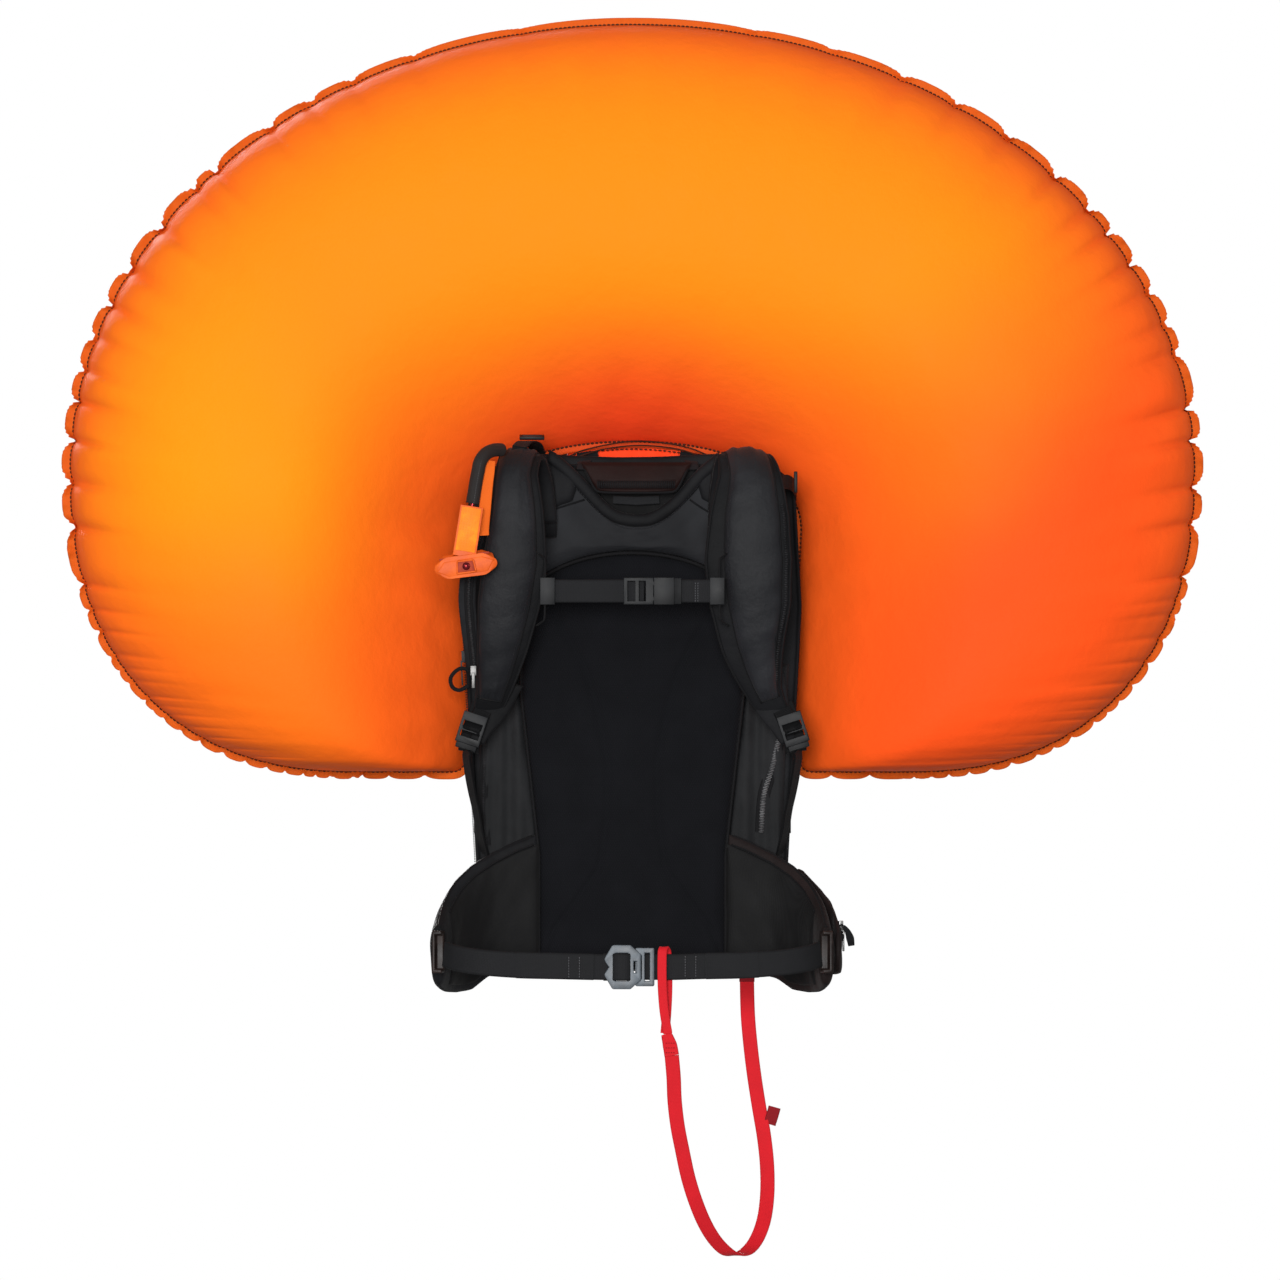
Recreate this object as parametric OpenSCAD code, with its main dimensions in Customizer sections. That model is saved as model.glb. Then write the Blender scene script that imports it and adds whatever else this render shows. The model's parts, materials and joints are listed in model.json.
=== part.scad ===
// Avalanche airbag backpack with its airbag deployed.
// Millimetres. +Z is up, the wearer is on the -Y side, and the origin is the
// centre of the back panel's contact face.

/* [Pack] */
// Half width of the bag at its harness side
bag_half_w = 170; // [162:1:172]
// Half width of the bag at its outer face
bag_rear_half_w = 144; // [134:1:146]
// Height of the bag's top edge above the origin
bag_top = 258; // [240:1:264]
// Depth of the bag's base below the origin
bag_base = 268; // [262:1:274]
// Depth of the bag, from its harness wall to the front panel
bag_depth = 212; // [190:1:220]
// Thickness of the fabric and foam walls of the bag
wall = 4; // [3:0.5:6]

/* [Harness] */
// Half distance between the middles of the shoulder straps
strap_x = 120; // [116:1:124]
// Thickness of a padded shoulder strap
strap_thick = 16; // [12:1:18]
// Height of the sternum strap above the origin
sternum_z = 126; // [116:1:136]
// Travel of the sternum strap up and down its rails
sternum_travel = 30; // [10:1:34]

/* [Hip belt] */
// Thickness of the padded hip wings
wing_thick = 20; // [14:1:22]
// Width of the hip belt webbing
belt_w = 27; // [25:1:30]
// Height of the hip belt's webbing above the origin at the buckle
belt_z = -265; // [-270:1:-258]

/* [Airbag] */
// Half width of the airbag across both lobes
airbag_half_w = 590; // [560:1:600]
// Height of the airbag's widest line above the origin
airbag_mid_z = 252; // [245:1:260]
// Rise of the airbag above its widest line
airbag_rise = 469; // [430:1:480]
// Drop of the lobes below the airbag's widest line
airbag_drop = 315; // [290:1:330]
// Half width of the notch that the bag sits in
notch_half_w = 178; // [177:1:190]
// Half the thickness of the airbag when full
airbag_half_t = 150; // [120:1:160]

/* [Leg loop] */
// Width of the leg loop's webbing
leg_w = 15; // [12:1:18]
// Thickness of the leg loop's webbing
leg_t = 2; // [1.5:0.5:3]

/* [Hidden] */
$fn = 32;

// Gap left between pieces that only lie against each other
gap = 0.8;

harness_y = 17;                      // outer face of the bag's harness wall
rear_y = harness_y + bag_depth;      // outer face of the bag's open side
panel_t = 15;                        // thickness of the foam back panel
panel_half_top = 116;                // half width of the back panel under its arch
panel_half_low = 97;                 // half width of the back panel at the lumbar
panel_low = -262;                    // lower edge of the back panel
panel_arch = 165;                    // crown of the back panel's arch

hip_pivot = [150, -4];               // where a hip wing bends, x and y
trigger_foot = [-175, -94, 164];     // centre of the trigger's crossbar top
trigger_lean = 9;                    // lean of the trigger's stem from vertical
trigger_stem = 53;                   // length of the trigger's stem
side_taper = 18 / 340;                // how fast the bag narrows below its widest line
notch_spring_z = 190;                // height at which the notch's arch springs
notch_rise = 94;                     // rise of the notch's arch
airbag_y = harness_y + 80;           // plane of the airbag's seam
blower_y = harness_y + 110;          // middle of the blower and of the airbag's throat
skin = 2.5;                          // modelled thickness of the airbag fabric

// Free route of the leg loop's webbing, from the sewn eye to its anchor
leg_route = [
    [41, -158, -357], [43, -154, -380], [44, -149, -404], [47, -143, -430], [52, -136, -456],
    [58, -128, -484], [66, -118, -510], [76, -106, -534], [88, -92, -553], [102, -78, -565],
    [116, -63, -565], [128, -48, -554], [137, -32, -533], [141, -16, -506], [141, -3, -476],
    [138, 7, -446], [133, 14, -416], [128, 19, -384], [124, 22, -352], [121, 24, -318],
    [120, 25, -281]
];

function unit(v) = v / norm(v);
function last(p) = len(p) - 1;
function tangent(p, i) = unit(p[min(i + 1, last(p))] - p[max(i - 1, 0)]);
function pick(v, i) = is_list(v) ? v[min(i, last(v))] : v;
function mirrored(p) = [for (q = p) [-q[0], q[1], q[2]]];

// Catmull-Rom curve through the points of p, with n steps to each span
function curve(p, n) = [
    for (i = [0 : last(p) - 1], k = [0 : n - 1])
        let (
            t = k / n,
            a = p[max(i - 1, 0)], b = p[i], c = p[i + 1], d = p[min(i + 2, last(p))]
        )
        0.5 * (2 * b + (c - a) * t + (2 * a - 5 * b + 4 * c - d) * t * t
            + (3 * b - a - 3 * c + d) * t * t * t),
    p[last(p)]
];

// Straight-line table of values at the points of curve(), one value to each route point
function graded(v, n) = [
    for (i = [0 : last(v) - 1], k = [0 : n - 1]) v[i] + (v[i + 1] - v[i]) * k / n,
    v[last(v)]
];

// Solid between rings of m points each, closed at both ends
module skinned(rings) {
    m = len(rings[0]);
    n = len(rings);
    polyhedron(
        points = [for (r = rings) each r],
        faces = [
            [for (j = [0 : m - 1]) j],
            [for (j = [m - 1 : -1 : 0]) (n - 1) * m + j],
            for (i = [0 : n - 2], j = [0 : m - 1])
                [i * m + (j + 1) % m, i * m + j, (i + 1) * m + j],
            for (i = [0 : n - 2], j = [0 : m - 1])
                [i * m + (j + 1) % m, (i + 1) * m + j, (i + 1) * m + (j + 1) % m]
        ],
        convexity = 6
    );
}

// Flat webbing along a path. wide is the way that its width points
module webbing(path, width, thick, wide = [1, 0, 0]) {
    skinned([
        for (i = [0 : last(path)])
            let (
                t = tangent(path, i),
                w = unit(wide - (wide * t) * t) * pick(width, i) / 2,
                m = cross(t, unit(w)) * thick / 2
            )
            [for (s = [[-1, -1], [1, -1], [1, 1], [-1, 1]]) path[i] + s[0] * w + s[1] * m]
    ]);
}

// Padded strip along a path, thinner at its edges than at its middle
module pad(path, width, thick, wide = [1, 0, 0]) {
    section = [[-1, -0.35], [-0.86, -1], [0.86, -1], [1, -0.35], [1, 0.35], [0.86, 1], [-0.86, 1], [-1, 0.35]];
    skinned([
        for (i = [0 : last(path)])
            let (
                t = tangent(path, i),
                w = unit(wide - (wide * t) * t) * pick(width, i) / 2,
                m = cross(t, unit(w)) * thick / 2
            )
            [for (s = section) path[i] + s[0] * w + s[1] * m]
    ]);
}

// Padded strip whose rings all stand upright, for a belt wing that also falls along its length
module upright_pad(path, width, thick) {
    section = [[-1, -0.35], [-0.86, -1], [0.86, -1], [1, -0.35], [1, 0.35], [0.86, 1], [-0.86, 1], [-1, 0.35]];
    skinned([
        for (i = [0 : last(path)])
            let (
                d = tangent(path, i),
                m = cross(unit([d[0], d[1], 0]), [0, 0, 1]) * thick / 2
            )
            [for (s = section) path[i] + [0, 0, s[0] * pick(width, i) / 2] + s[1] * m]
    ]);
}

// Round cord or tube along a path
module tube(path, r, sides = 8, wide = [1, 0, 0]) {
    skinned([
        for (i = [0 : last(path)])
            let (
                t = tangent(path, i),
                w = unit(wide - (wide * t) * t),
                m = cross(t, w)
            )
            [for (k = [0 : sides - 1]) path[i] + r * (cos(k * 360 / sides) * w + sin(k * 360 / sides) * m)]
    ]);
}

// Upright plate: its outline lies in the XZ plane and it spans y0 to y1
module plate(y0, y1) {
    translate([0, y1, 0]) rotate([90, 0, 0]) linear_extrude(y1 - y0) children();
}

module mirror_pair() {
    children();
    mirror([1, 0, 0]) children();
}

function arc(cx, cz, r, a0, a1, n = 12) = [for (k = [0 : n]) [cx + r * cos(a0 + (a1 - a0) * k / n), cz + r * sin(a0 + (a1 - a0) * k / n)]];
// Arch of the given half width whose crown is rise above z
function arch(half_w, z, rise, n = 14) = [for (k = [0 : n]) let (a = 180 - 180 * k / n) [half_w * cos(a), z + rise * sin(a)]];

// ---- Back and frame ----

module back_outline() {
    polygon(concat(
        [[-panel_half_low, panel_low], [-panel_half_low, -150], [-panel_half_top, 20]],
        arch(panel_half_top, 100, panel_arch - 100),
        [[panel_half_top, 20], [panel_half_low, -150], [panel_half_low, panel_low]]
    ));
}

module back_panel() {
    color("#1c1d20") plate(0, panel_t) back_outline();
}

module yoke() {
    neck_r = 92;
    color("#26272b") plate(0, panel_t - 2) difference() {
        polygon(concat(
            [[-148, 96], [-panel_half_top - 3, 96]],
            arch(panel_half_top + 3, 102, panel_arch - 98),
            [[panel_half_top + 3, 96], [148, 96], [146, 236], [84, 256], [-84, 256], [-146, 236]]
        ));
        translate([0, 288]) circle(r = neck_r, $fn = 64);
    }
}

module frame_sheet() {
    color("#d9d9d4") plate(harness_y + wall + gap, harness_y + wall + gap + 1.6) polygon(concat(
        [[-120, -250], [-128, 60]], arch(128, 120, 80), [[128, 60], [120, -250]]
    ));
}

module frame_stay() {
    stay_y = harness_y + wall + 8;
    route = concat(
        [[-112, stay_y, -245]],
        [for (p = arch(112, 100, 84, 12)) [p[0], stay_y, p[1]]],
        [[112, stay_y, -245]]
    );
    color("silver") tube(route, 3, 10, [0, 1, 0]);
}

// ---- Bag ----

// Outline of the bag, seen from the wearer's side, for one half width
module bag_outline(half_w, top, inset = 0) {
    corner = 38;
    low_w = half_w - 12;
    hull() {
        for (s = [-1, 1]) {
            translate([s * (low_w - corner), -bag_base + corner]) circle(r = corner - inset, $fn = 32);
            translate([s * (half_w - corner), top - corner]) circle(r = corner - inset, $fn = 32);
            translate([s * (half_w + 6 - corner), 110]) circle(r = corner - inset, $fn = 32);
        }
    }
}

module bag_form(inset, y0, y1) {
    hull() {
        plate(y0, y0 + 1) bag_outline(bag_half_w, bag_top, inset);
        plate(y1 - 1, y1) bag_outline(bag_rear_half_w, bag_top - 24, inset);
    }
}

module bag_shell() {
    slot_half = 80;
    color("#17181a") difference() {
        bag_form(0, harness_y, rear_y);
        bag_form(wall, harness_y + wall, rear_y + 8);
        // slot in the top for the airbag's neck
        translate([-slot_half, harness_y + 30, bag_top - 60]) cube([2 * slot_half, 130, 90]);
        // air intake in the left side
        translate([-200, 124, 144]) cube([80, 52, 52]);
    }
}

module panel_outline(inset) {
    bag_outline(bag_rear_half_w, bag_top - 24, inset);
}

module front_panel() {
    color("#1b1c1f") plate(rear_y + gap, rear_y + gap + 10) panel_outline(2);
}

module tools_pocket() {
    pocket_y = rear_y + gap + 10 + gap;
    color("#202125") difference() {
        hull() {
            plate(pocket_y, pocket_y + 1) bag_outline(bag_rear_half_w - 12, bag_top - 70, 2);
            plate(pocket_y + 18, pocket_y + 19) bag_outline(bag_rear_half_w - 32, bag_top - 90, 8);
        }
        // room for a shovel blade and a probe, open at the top
        translate([-92, pocket_y + 2, -bag_base + 26]) cube([184, 13.6, bag_top + bag_base]);
    }
}

// Ski and axe carry loops sewn down the outside of the pocket
module carry_loops() {
    face_y = rear_y + 31.2;
    color("#2b2c30") for (z = [-190, -120, 60, 120])
        webbing([
            [-24, face_y, z], [-22, face_y + 10, z], [-12, face_y + 15, z], [12, face_y + 15, z],
            [22, face_y + 10, z], [24, face_y, z]
        ], 20, 2, [0, 0, 1]);
}

// Frame of the zip on the bag's left side, which leans with the bag's taper
module at_main_zip() {
    translate([-side_x(28, -170) - 2.5, 24, -170]) rotate([0, -atan(side_taper), 0]) children();
}

module main_zip() {
    color("#3a3b3f") at_main_zip() cube([1.6, 9, 250]);
}

module main_zip_slider() {
    color("#9a9a96") at_main_zip() {
        translate([-4.5, -2, 222]) cube([4, 13, 12]);
        translate([-6, 2.5, 198]) cube([1.6, 4, 26]);
    }
}

// Zip that curves down the harness face beside the back panel
module side_zip() {
    route = [
        [153, 15.2, -30], [146, 15.2, -60], [138.5, 15.2, -84], [136, 15.2, -104], [135, 15.2, -126]
    ];
    color("#6f7072") webbing(curve(route, 2), 8, 1.6);
}

// ---- Shoulder harness ----

strap_points = [
    [-98, -11, 196], [-104, -15, 238], [-114, -36, 266], [-121, -60, 248], [-strap_x, -70, 205],
    [-strap_x - 3, -71, 158], [-strap_x - 9, -67, 112], [-strap_x - 16, -57, 66], [-145, -41, 22], [-154, -26, -6]
];
strap_widths = [38, 42, 42, 44, 54, 66, 64, 52, 36, 24];
// The other strap is broader, with no trigger to carry
plain_strap_points = [
    [98, -11, 196], [104, -15, 238], [114, -36, 266], [strap_x + 2, -60, 248], [strap_x + 2, -70, 205],
    [strap_x + 1, -71, 158], [strap_x + 3, -67, 112], [strap_x + 6, -57, 66], [137, -41, 22], [152, -26, -6]
];
plain_strap_widths = [38, 44, 52, 64, 82, 90, 84, 64, 38, 26];

module shoulder_strap_left() {
    color("#232428") pad(curve(strap_points, 3), graded(strap_widths, 3), strap_thick);
}

module shoulder_strap_right() {
    color("#232428") pad(curve(plain_strap_points, 3), graded(plain_strap_widths, 3), strap_thick);
}

// Zip along the outer edge of the left shoulder strap, over the trigger cable
module strap_zip() {
    route = [for (i = [3 : 8]) strap_points[i] + [-strap_widths[i] / 2 - 3.4, 3, 0]];
    color("#121314") webbing(curve(route, 3), 5, 10, [1, 0, 0]);
}

module strap_zip_pull() {
    color("silver") translate([-169, -60.2, 38]) union() {
        cube([6, 4, 10]);
        translate([1.5, -1.4, -13]) cube([3, 1.8, 16]);
    }
}

module lifter() {
    webbing([
        [-118, -46, 276.5], [-112, -30, 282], [-104, 0, 281], [-100, 30, 274], [-98, 60, 262]
    ], 16, 2);
    // its ladder buckle
    translate([-118, -22, 284]) rotate([8, 0, 0]) cube([26, 18, 4]);
}

// The right one runs back from the outer edge of its strap to the side of the bag
module right_lifter() {
    webbing([[158, -49, 240], [163, -32, 240], [168, -10, 237], [170, 12, 232]], 15, 2, [0, 0, 1]);
    translate([168.8, -34, 229]) cube([4, 18, 22]);
}

module load_lifters() {
    color("#2d2e31") {
        lifter();
        right_lifter();
    }
}

// Frame of a ladder lock for 20 mm webbing, centred on its middle bar
module ladder_lock() {
    w = 26;
    h = 33;
    difference() {
        translate([-w / 2, -3, -h / 2]) cube([w, 6, h]);
        for (z = [-9.5, 1]) translate([-w / 2 + 3, -4, z]) cube([w - 6, 8, 6]);
    }
    translate([-w / 2 + 2, -3, -h / 2 - 5]) rotate([-20, 0, 0]) cube([w - 4, 3, 7]);
}

module ladder_locks() {
    color("#3c3e42") mirror_pair() translate([-168, -41, -18]) rotate([0, 18, 0]) ladder_lock();
}

lower_points = [
    [-173, -34, -48], [-171, -24, -64], [-167, -10, -86], [-162, 1, -112], [-158, 6, -134]
];
lower_wide = [0.6, -0.8, 0];

module lower_webbings() {
    color("#2a2b2e") {
        webbing(lower_points, 20, 2, lower_wide);
        webbing(mirrored(lower_points), 20, 2, [lower_wide[0], -lower_wide[1], 0]);
    }
}

// ---- Sternum strap ----

rail_x = 91;
rail_y = -87;
rail_r = 2.2;
rail_half = sternum_travel + 16;

module sternum_rails() {
    color("#2f3034") mirror_pair() {
        translate([-rail_x, rail_y, sternum_z - rail_half]) cylinder(r = rail_r, h = 2 * rail_half);
        for (s = [-1, 1])
            translate([-rail_x - 9, rail_y - 3, sternum_z + s * (rail_half + 1) - 3]) cube([13, 9.6, 6]);
    }
}

module sternum_sliders() {
    color("#35373b") mirror_pair() difference() {
        translate([-rail_x - 5, rail_y - 5.5, sternum_z - 14]) cube([15, 11, 28]);
        translate([-rail_x, rail_y, sternum_z - 15]) cylinder(r = rail_r + 0.08, h = 30);
        // slot that the webbing passes through
        translate([-rail_x + 4.6, rail_y - 1.6, sternum_z - 12.6]) cube([6, 3.2, 25.2]);
    }
}

module sternum_webbing() {
    web_y = rail_y;
    color("#2b2e31") union() {
        translate([-rail_x + 5, web_y - 0.8, sternum_z - 12]) cube([rail_x - 5 + 12, 1.6, 24]);
        translate([44, web_y - 0.8, sternum_z - 12]) cube([rail_x - 5 - 44, 1.6, 24]);
    }
}

module sternum_buckle_plug() {
    y0 = rail_y - 6.6;
    color("#3b3e42") translate([0, 0, sternum_z]) {
        difference() {
            translate([-9, y0, -14]) cube([31, 5, 28]);
            translate([-5, y0 - 1, -10.5]) cube([8, 7, 21]);
            translate([7, y0 - 1, -10.5]) cube([7, 7, 21]);
        }
        for (s = [-1, 1]) translate([21, y0, s * 8 - 2]) cube([18, 5, 4]);
        translate([21, y0 + 0.8, -2]) cube([19, 3.4, 4]);
    }
}

module sternum_buckle_socket() {
    y0 = rail_y - 8.4;
    color("#33363a") translate([0, 0, sternum_z]) difference() {
        union() {
            translate([22.6, y0, -14]) cube([21, 8.6, 28]);
            translate([43, y0 + 3, -13.5]) cube([8, 9, 27]);
        }
        translate([22, y0 + 1.2, -11]) cube([19.4, 6.2, 22]);
        // side windows for the two release arms
        for (s = [-1, 1]) translate([27, y0 + 1.2, s * 12.5 - 2.5]) cube([10, 6.2, 5]);
        translate([40, rail_y - 1.4, -12.4]) cube([12, 2.8, 24.8]);
    }
}

// ---- Haul handle ----

module haul_handle() {
    // the grip hangs forward from two sewn-down ends
    color("#33282a") translate([4, 0, 0]) pad(curve([
        [-58, 9, 262], [-54, 1, 256], [-42, -5, 248], [-14, -7, 245], [14, -7, 245], [42, -5, 248], [54, 1, 256],
        [58, 9, 262]
    ], 2), graded([18, 22, 29, 30, 30, 29, 22, 18], 2), 7, [0, 0, 1]);
}

// ---- Hip belt ----

wing_points = [
    [-152, -5, -212], [-168, -15, -222], [-184, -32, -231], [-195, -56, -240], [-200, -80, -247], [-202, -98, -250]
];

module lumbar_wings() {
    color("#1f2023") mirror_pair() plate(-5, 13) offset(r = 3) offset(delta = -3) polygon([
        [-101.5, -127], [-138.8, -148], [-138.8, -268], [-101.5, -264]
    ]);
}

module wing() {
    // the fold line, where the wing bends from the lumbar pad
    translate([hip_pivot[0] * -1, hip_pivot[1], -268]) cylinder(r = wing_thick / 2, h = 114);
    upright_pad(curve(wing_points, 3), graded([120, 118, 102, 80, 60, 46], 3), wing_thick);
}

module hip_wing_left() {
    color("#1f2023") wing();
}

module hip_wing_right() {
    color("#1f2023") mirror([1, 0, 0]) wing();
}

// Zipped pocket on the outside of the right wing
module hip_pocket() {
    route = [[177.6, -3.6, -208], [196.6, -23.6, -227], [209.2, -51.2, -240], [214.6, -77.6, -249]];
    color("#231d1e") upright_pad(curve(route, 3), graded([84, 82, 68, 46], 3), 8);
}

module hip_pocket_zip_slider() {
    color("silver") translate([216.0, -60, -228]) rotate([0, 0, 13]) union() {
        cube([4.5, 8, 10]);
        translate([4.8, 2.6, -22]) cube([1.6, 4, 26]);
    }
}

belt_points = [
    [-196, -112, -252], [-184, -128, -256], [-160, -142, -260], [-120, -151, -263],
    [-76, -156, belt_z + 1], [-30, -158, belt_z], [-4, -158, belt_z]
];

module hip_webbing_left() {
    color("#2c2e31") webbing(curve(belt_points, 2), belt_w, 2.4, [0, 0, 1]);
}

module hip_webbing_right() {
    run = mirrored([for (i = [0 : last(belt_points) - 2]) belt_points[i]]);
    tail = [[44, -157.6, belt_z], [32, -157.2, belt_z], [25, -152.8, belt_z], [12, -152.8, belt_z]];
    color("#2c2e31") webbing(concat(curve(run, 2), tail), belt_w, 2.4, [0, 0, 1]);
}

// Moulded loop that joins the webbing to the wing's tip
module keeper() {
    translate([-206, -116, -248]) rotate([0, 0, -12]) difference() {
        translate([-3, -2, -24]) cube([11, 15.6, 44]);
        translate([0.5, -3, -20]) cube([12, 11, 36]);
    }
}

module hip_keeper_left() {
    color("#4a4340") keeper();
}

module hip_keeper_right() {
    color("#4a4340") mirror([1, 0, 0]) keeper();
}

// Plate half of the belt buckle: the webbing wraps its middle bar
module hip_buckle_plate() {
    color("#77808a") plate(-166, -161) difference() {
        translate([-11, belt_z]) offset(r = 3) polygon([
            [-15, -8], [-8, -20], [8, -20], [17, -12], [17, 12], [8, 20], [-8, 20], [-15, 8], [-10, 0]
        ]);
        translate([-17.5, belt_z - 14.5]) square([13, 29]);
        translate([1.5, belt_z - 6]) square([3, 12]);
    }
}

// Frame half of the belt buckle, with a hooked edge behind the plate
module hip_buckle_frame() {
    color("#66707a") plate(-160.6, -155) difference() {
        translate([13, belt_z]) offset(r = 2) square([16, 36], center = true);
        translate([15.5, belt_z]) square([5, 29], center = true);
        translate([8, belt_z]) square([3, 24], center = true);
    }
}

// ---- Leg loop ----

module leg_strap() {
    color("#d0202a") webbing(leg_route, leg_w, leg_t);
}

// Sewn eye that the right half of the belt passes through
module leg_eye() {
    back_y = -153;
    front_y = -163.6;
    color("#d6232d") {
        webbing([
            [34, back_y, -334], [36, back_y + 0.6, -310], [37, back_y + 1, -282], [36, back_y, -252], [34.5, back_y - 2.4, -246.5],
            [33, -158.3, -244.5], [32, front_y + 2.4, -246.5], [31, front_y, -252], [31, front_y - 0.6, -282],
            [33, front_y + 1.4, -310], [37, -158.6, -334]
        ], 9, 1.8);
        webbing([[35.4, -156, -334.6], [39, -157.4, -346], [41, -157.8, -356]], [11, 15, 15], 4.4);
    }
}

module leg_anchor() {
    color("#a5161f") {
        translate([112, 24, -279.6]) cube([16, 3, 10.6]);
        translate([112, 24, -271.4]) cube([16, 18, 2.6]);
    }
}

// Folded tag sewn to the edge of the leg loop
module leg_tag() {
    color("#7d1219") translate([142.4, 11.5, -432]) rotate([0, 8, 0]) cube([5, 1.6, 18]);
}

// ---- Sides ----

// Half width of the bag's side wall at a depth y and a height z
function side_x(y, z) = bag_half_w + 6 - (110 - z) * side_taper
    - (bag_half_w - bag_rear_half_w) * (y - harness_y) / bag_depth;

module side_strap(z, low) {
    webbing([
        [-side_x(40, z) - low, 40, z], [-side_x(90, z) - low, 90, z], [-side_x(140, z) - low, 140, z],
        [-side_x(200, z) - low, 200, z]
    ], 15, 1.8, [0, 0, 1]);
}

module compression_straps() {
    color("#26272a") mirror_pair() {
        side_strap(-120, 2);
        side_strap(-212, 2);
    }
}

module side_buckle(z) {
    translate([-side_x(128, z) - 10.4, 128, z - 10]) rotate([0, 0, -7]) difference() {
        cube([6.4, 36, 20]);
        translate([-1, 5, 4]) cube([9, 4, 12]);
        translate([-1, 12, 4]) cube([9, 4, 12]);
    }
}

module compression_buckles() {
    color("#303236") mirror_pair() {
        side_buckle(-120);
        side_buckle(-212);
    }
}

module tool_ring() {
    color("#1e1e20") translate([-179.5, 12, 34]) rotate([90, 0, 0])
        rotate_extrude($fn = 40) translate([10.4, 0]) circle(r = 2.4, $fn = 16);
}

// ---- Trigger ----

// Frame of the trigger: origin at the foot of the stem, +Z up the stem
module at_trigger() {
    translate(trigger_foot) rotate([0, trigger_lean, 0]) children();
}

module trigger_handle() {
    color("#f08a24") at_trigger() {
        difference() {
            translate([-12, -8, -2]) cube([24, 16, trigger_stem]);
            translate([0, 0, trigger_stem - 22]) cylinder(r = 3.2, h = 30);
        }
        rotate([0, -16, 0]) difference() {
            hull() for (s = [-1, 1]) translate([s * 17, 0, -12]) {
                translate([0, 9, 0]) rotate([90, 0, 0]) cylinder(r = 11.5, h = 18, $fn = 24);
                translate([s * 9.5, 7, 0]) rotate([90, 0, 0]) cylinder(r = 6.5, h = 14, $fn = 24);
            }
            translate([0, -5, -12]) rotate([90, 0, 0]) cylinder(r = 6, h = 8);
        }
    }
}

module trigger_cable() {
    color("#8a1a1a") at_trigger() translate([0, 0, trigger_stem - 21]) cylinder(r = 2.4, h = 58);
}

// Braided conduit from the strap's top to the stem
module trigger_sheath() {
    straight = 16;
    color("#1a1817") {
        at_trigger() translate([0, 0, trigger_stem]) difference() {
            cylinder(r = 7.5, h = straight + 26);
            translate([0, 0, -1]) cylinder(r = 3, h = straight + 12);
            translate([0, 0, straight + 8]) cylinder(r = 3, h = 14);
        }
        tube(curve([
            [-160.2, -94, 258], [-157.5, -92, 264], [-152, -85, 270], [-144.5, -75, 273], [-137, -64, 273.5]
        ], 2), 7.2, 10, [0, 1, 0]);
    }
}

// ---- Airbag ----

function power(x, e) = sign(x) * pow(abs(x), e);

// Point of the notch edge at along, from -2 (left foot) through 0 (crown) to 2 (right foot).
// in moves the edge into the airbag by that much
function notch_point(along, in = 0) = let (s = sign(along), a = abs(along))
    a <= 1
    ? [
        s * (notch_half_w + in) * power(sin(90 * a), 0.92),
        notch_spring_z + (notch_rise + in) * power(cos(90 * a), 0.92)
    ]
    : let (b = 90 * (a - 1))
        [
            s * (notch_half_w + in - 14 * power(sin(b), 0.7) + 40 * (1 - power(cos(b), 0.3))),
            notch_spring_z - (notch_spring_z - airbag_mid_z + airbag_drop - in) * power(sin(b), 0.7)
        ];

// Point of the outer edge, by the same measure
function rim_point(along, in = 0) = let (s = sign(along), a = abs(along), foot = 290)
    a <= 1
    ? [s * (airbag_half_w - in) * sin(90 * a), airbag_mid_z + (airbag_rise - in) * cos(90 * a)]
    : let (b = 90 * (a - 1))
        [
            s * (foot + (airbag_half_w - in - foot) * power(cos(b), 0.87)),
            airbag_mid_z - (airbag_drop - in) * power(sin(b), 0.87)
        ];

// Section of the airbag: it rises gently from the notch and is blunt at the rim
function section(across) = let (q = 2 * across - 1)
    q < 0 ? pow(max(0, cos(90 * q)), 0.8) : sqrt(max(0, 1 - pow(q, 2.2)));

// Half thickness of the airbag, as a share of its most
function fullness(across, along) = let (end = 1 - max(0, (abs(along) - 1.15) / 0.85))
    section(across) * sqrt(max(0, 1 - pow(1 - end, 2.6)));

// Point of the wearer's side of the airbag. across runs from 0 at the notch to 1 at the rim
function airbag_point(across, along, in = 0) = let (
    n = notch_point(along, in),
    r = rim_point(along, in),
    p = n + (r - n) * across
) [p[0], airbag_y - (airbag_half_t - in) * fullness(across, along), p[1]];

airbag_rows = 44; // steps along the horseshoe
airbag_cols = 10; // steps from the notch to the rim

// Border of the grid, once round, as pairs of row and column
function airbag_border() = concat(
    [for (i = [0 : airbag_rows - 1]) [i, 0]],
    [for (j = [0 : airbag_cols - 1]) [airbag_rows, j]],
    [for (i = [airbag_rows : -1 : 1]) [i, airbag_cols]],
    [for (j = [airbag_cols : -1 : 1]) [0, j]]
);

// The half of the airbag on the wearer's side, as a curved sheet closed round its border
module airbag_half() {
    n = airbag_rows;
    m = airbag_cols;
    base = (n + 1) * (m + 1);
    points = [
        for (in = [0, skin], i = [0 : n], j = [0 : m])
            airbag_point(0.5 - 0.5 * cos(180 * j / m), -2 + 4 * i / n, in) - [0, 0.3, 0]
    ];
    cells = [for (i = [0 : n - 1], j = [0 : m - 1]) let (a = i * (m + 1) + j) each [
        [a + m + 2, a + 1, a], [a + m + 1, a + m + 2, a]
    ]];
    border = airbag_border();
    rim = [for (k = [0 : last(border)])
        let (
            p = border[k], q = border[(k + 1) % len(border)],
            a = p[0] * (m + 1) + p[1], b = q[0] * (m + 1) + q[1]
        )
        each [[base + b, b, a], [base + a, base + b, a]]];
    inner = [for (t = cells) [base + t[2], base + t[1], base + t[0]]];
    polyhedron(points = points, faces = concat(cells, inner, rim), convexity = 8);
}

module airbag_front_panel() {
    color("#f5821f") airbag_half();
}

module airbag_rear_panel() {
    color("#f5821f") translate([0, 2 * airbag_y, 0]) mirror([0, 1, 0]) airbag_half();
}

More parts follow.
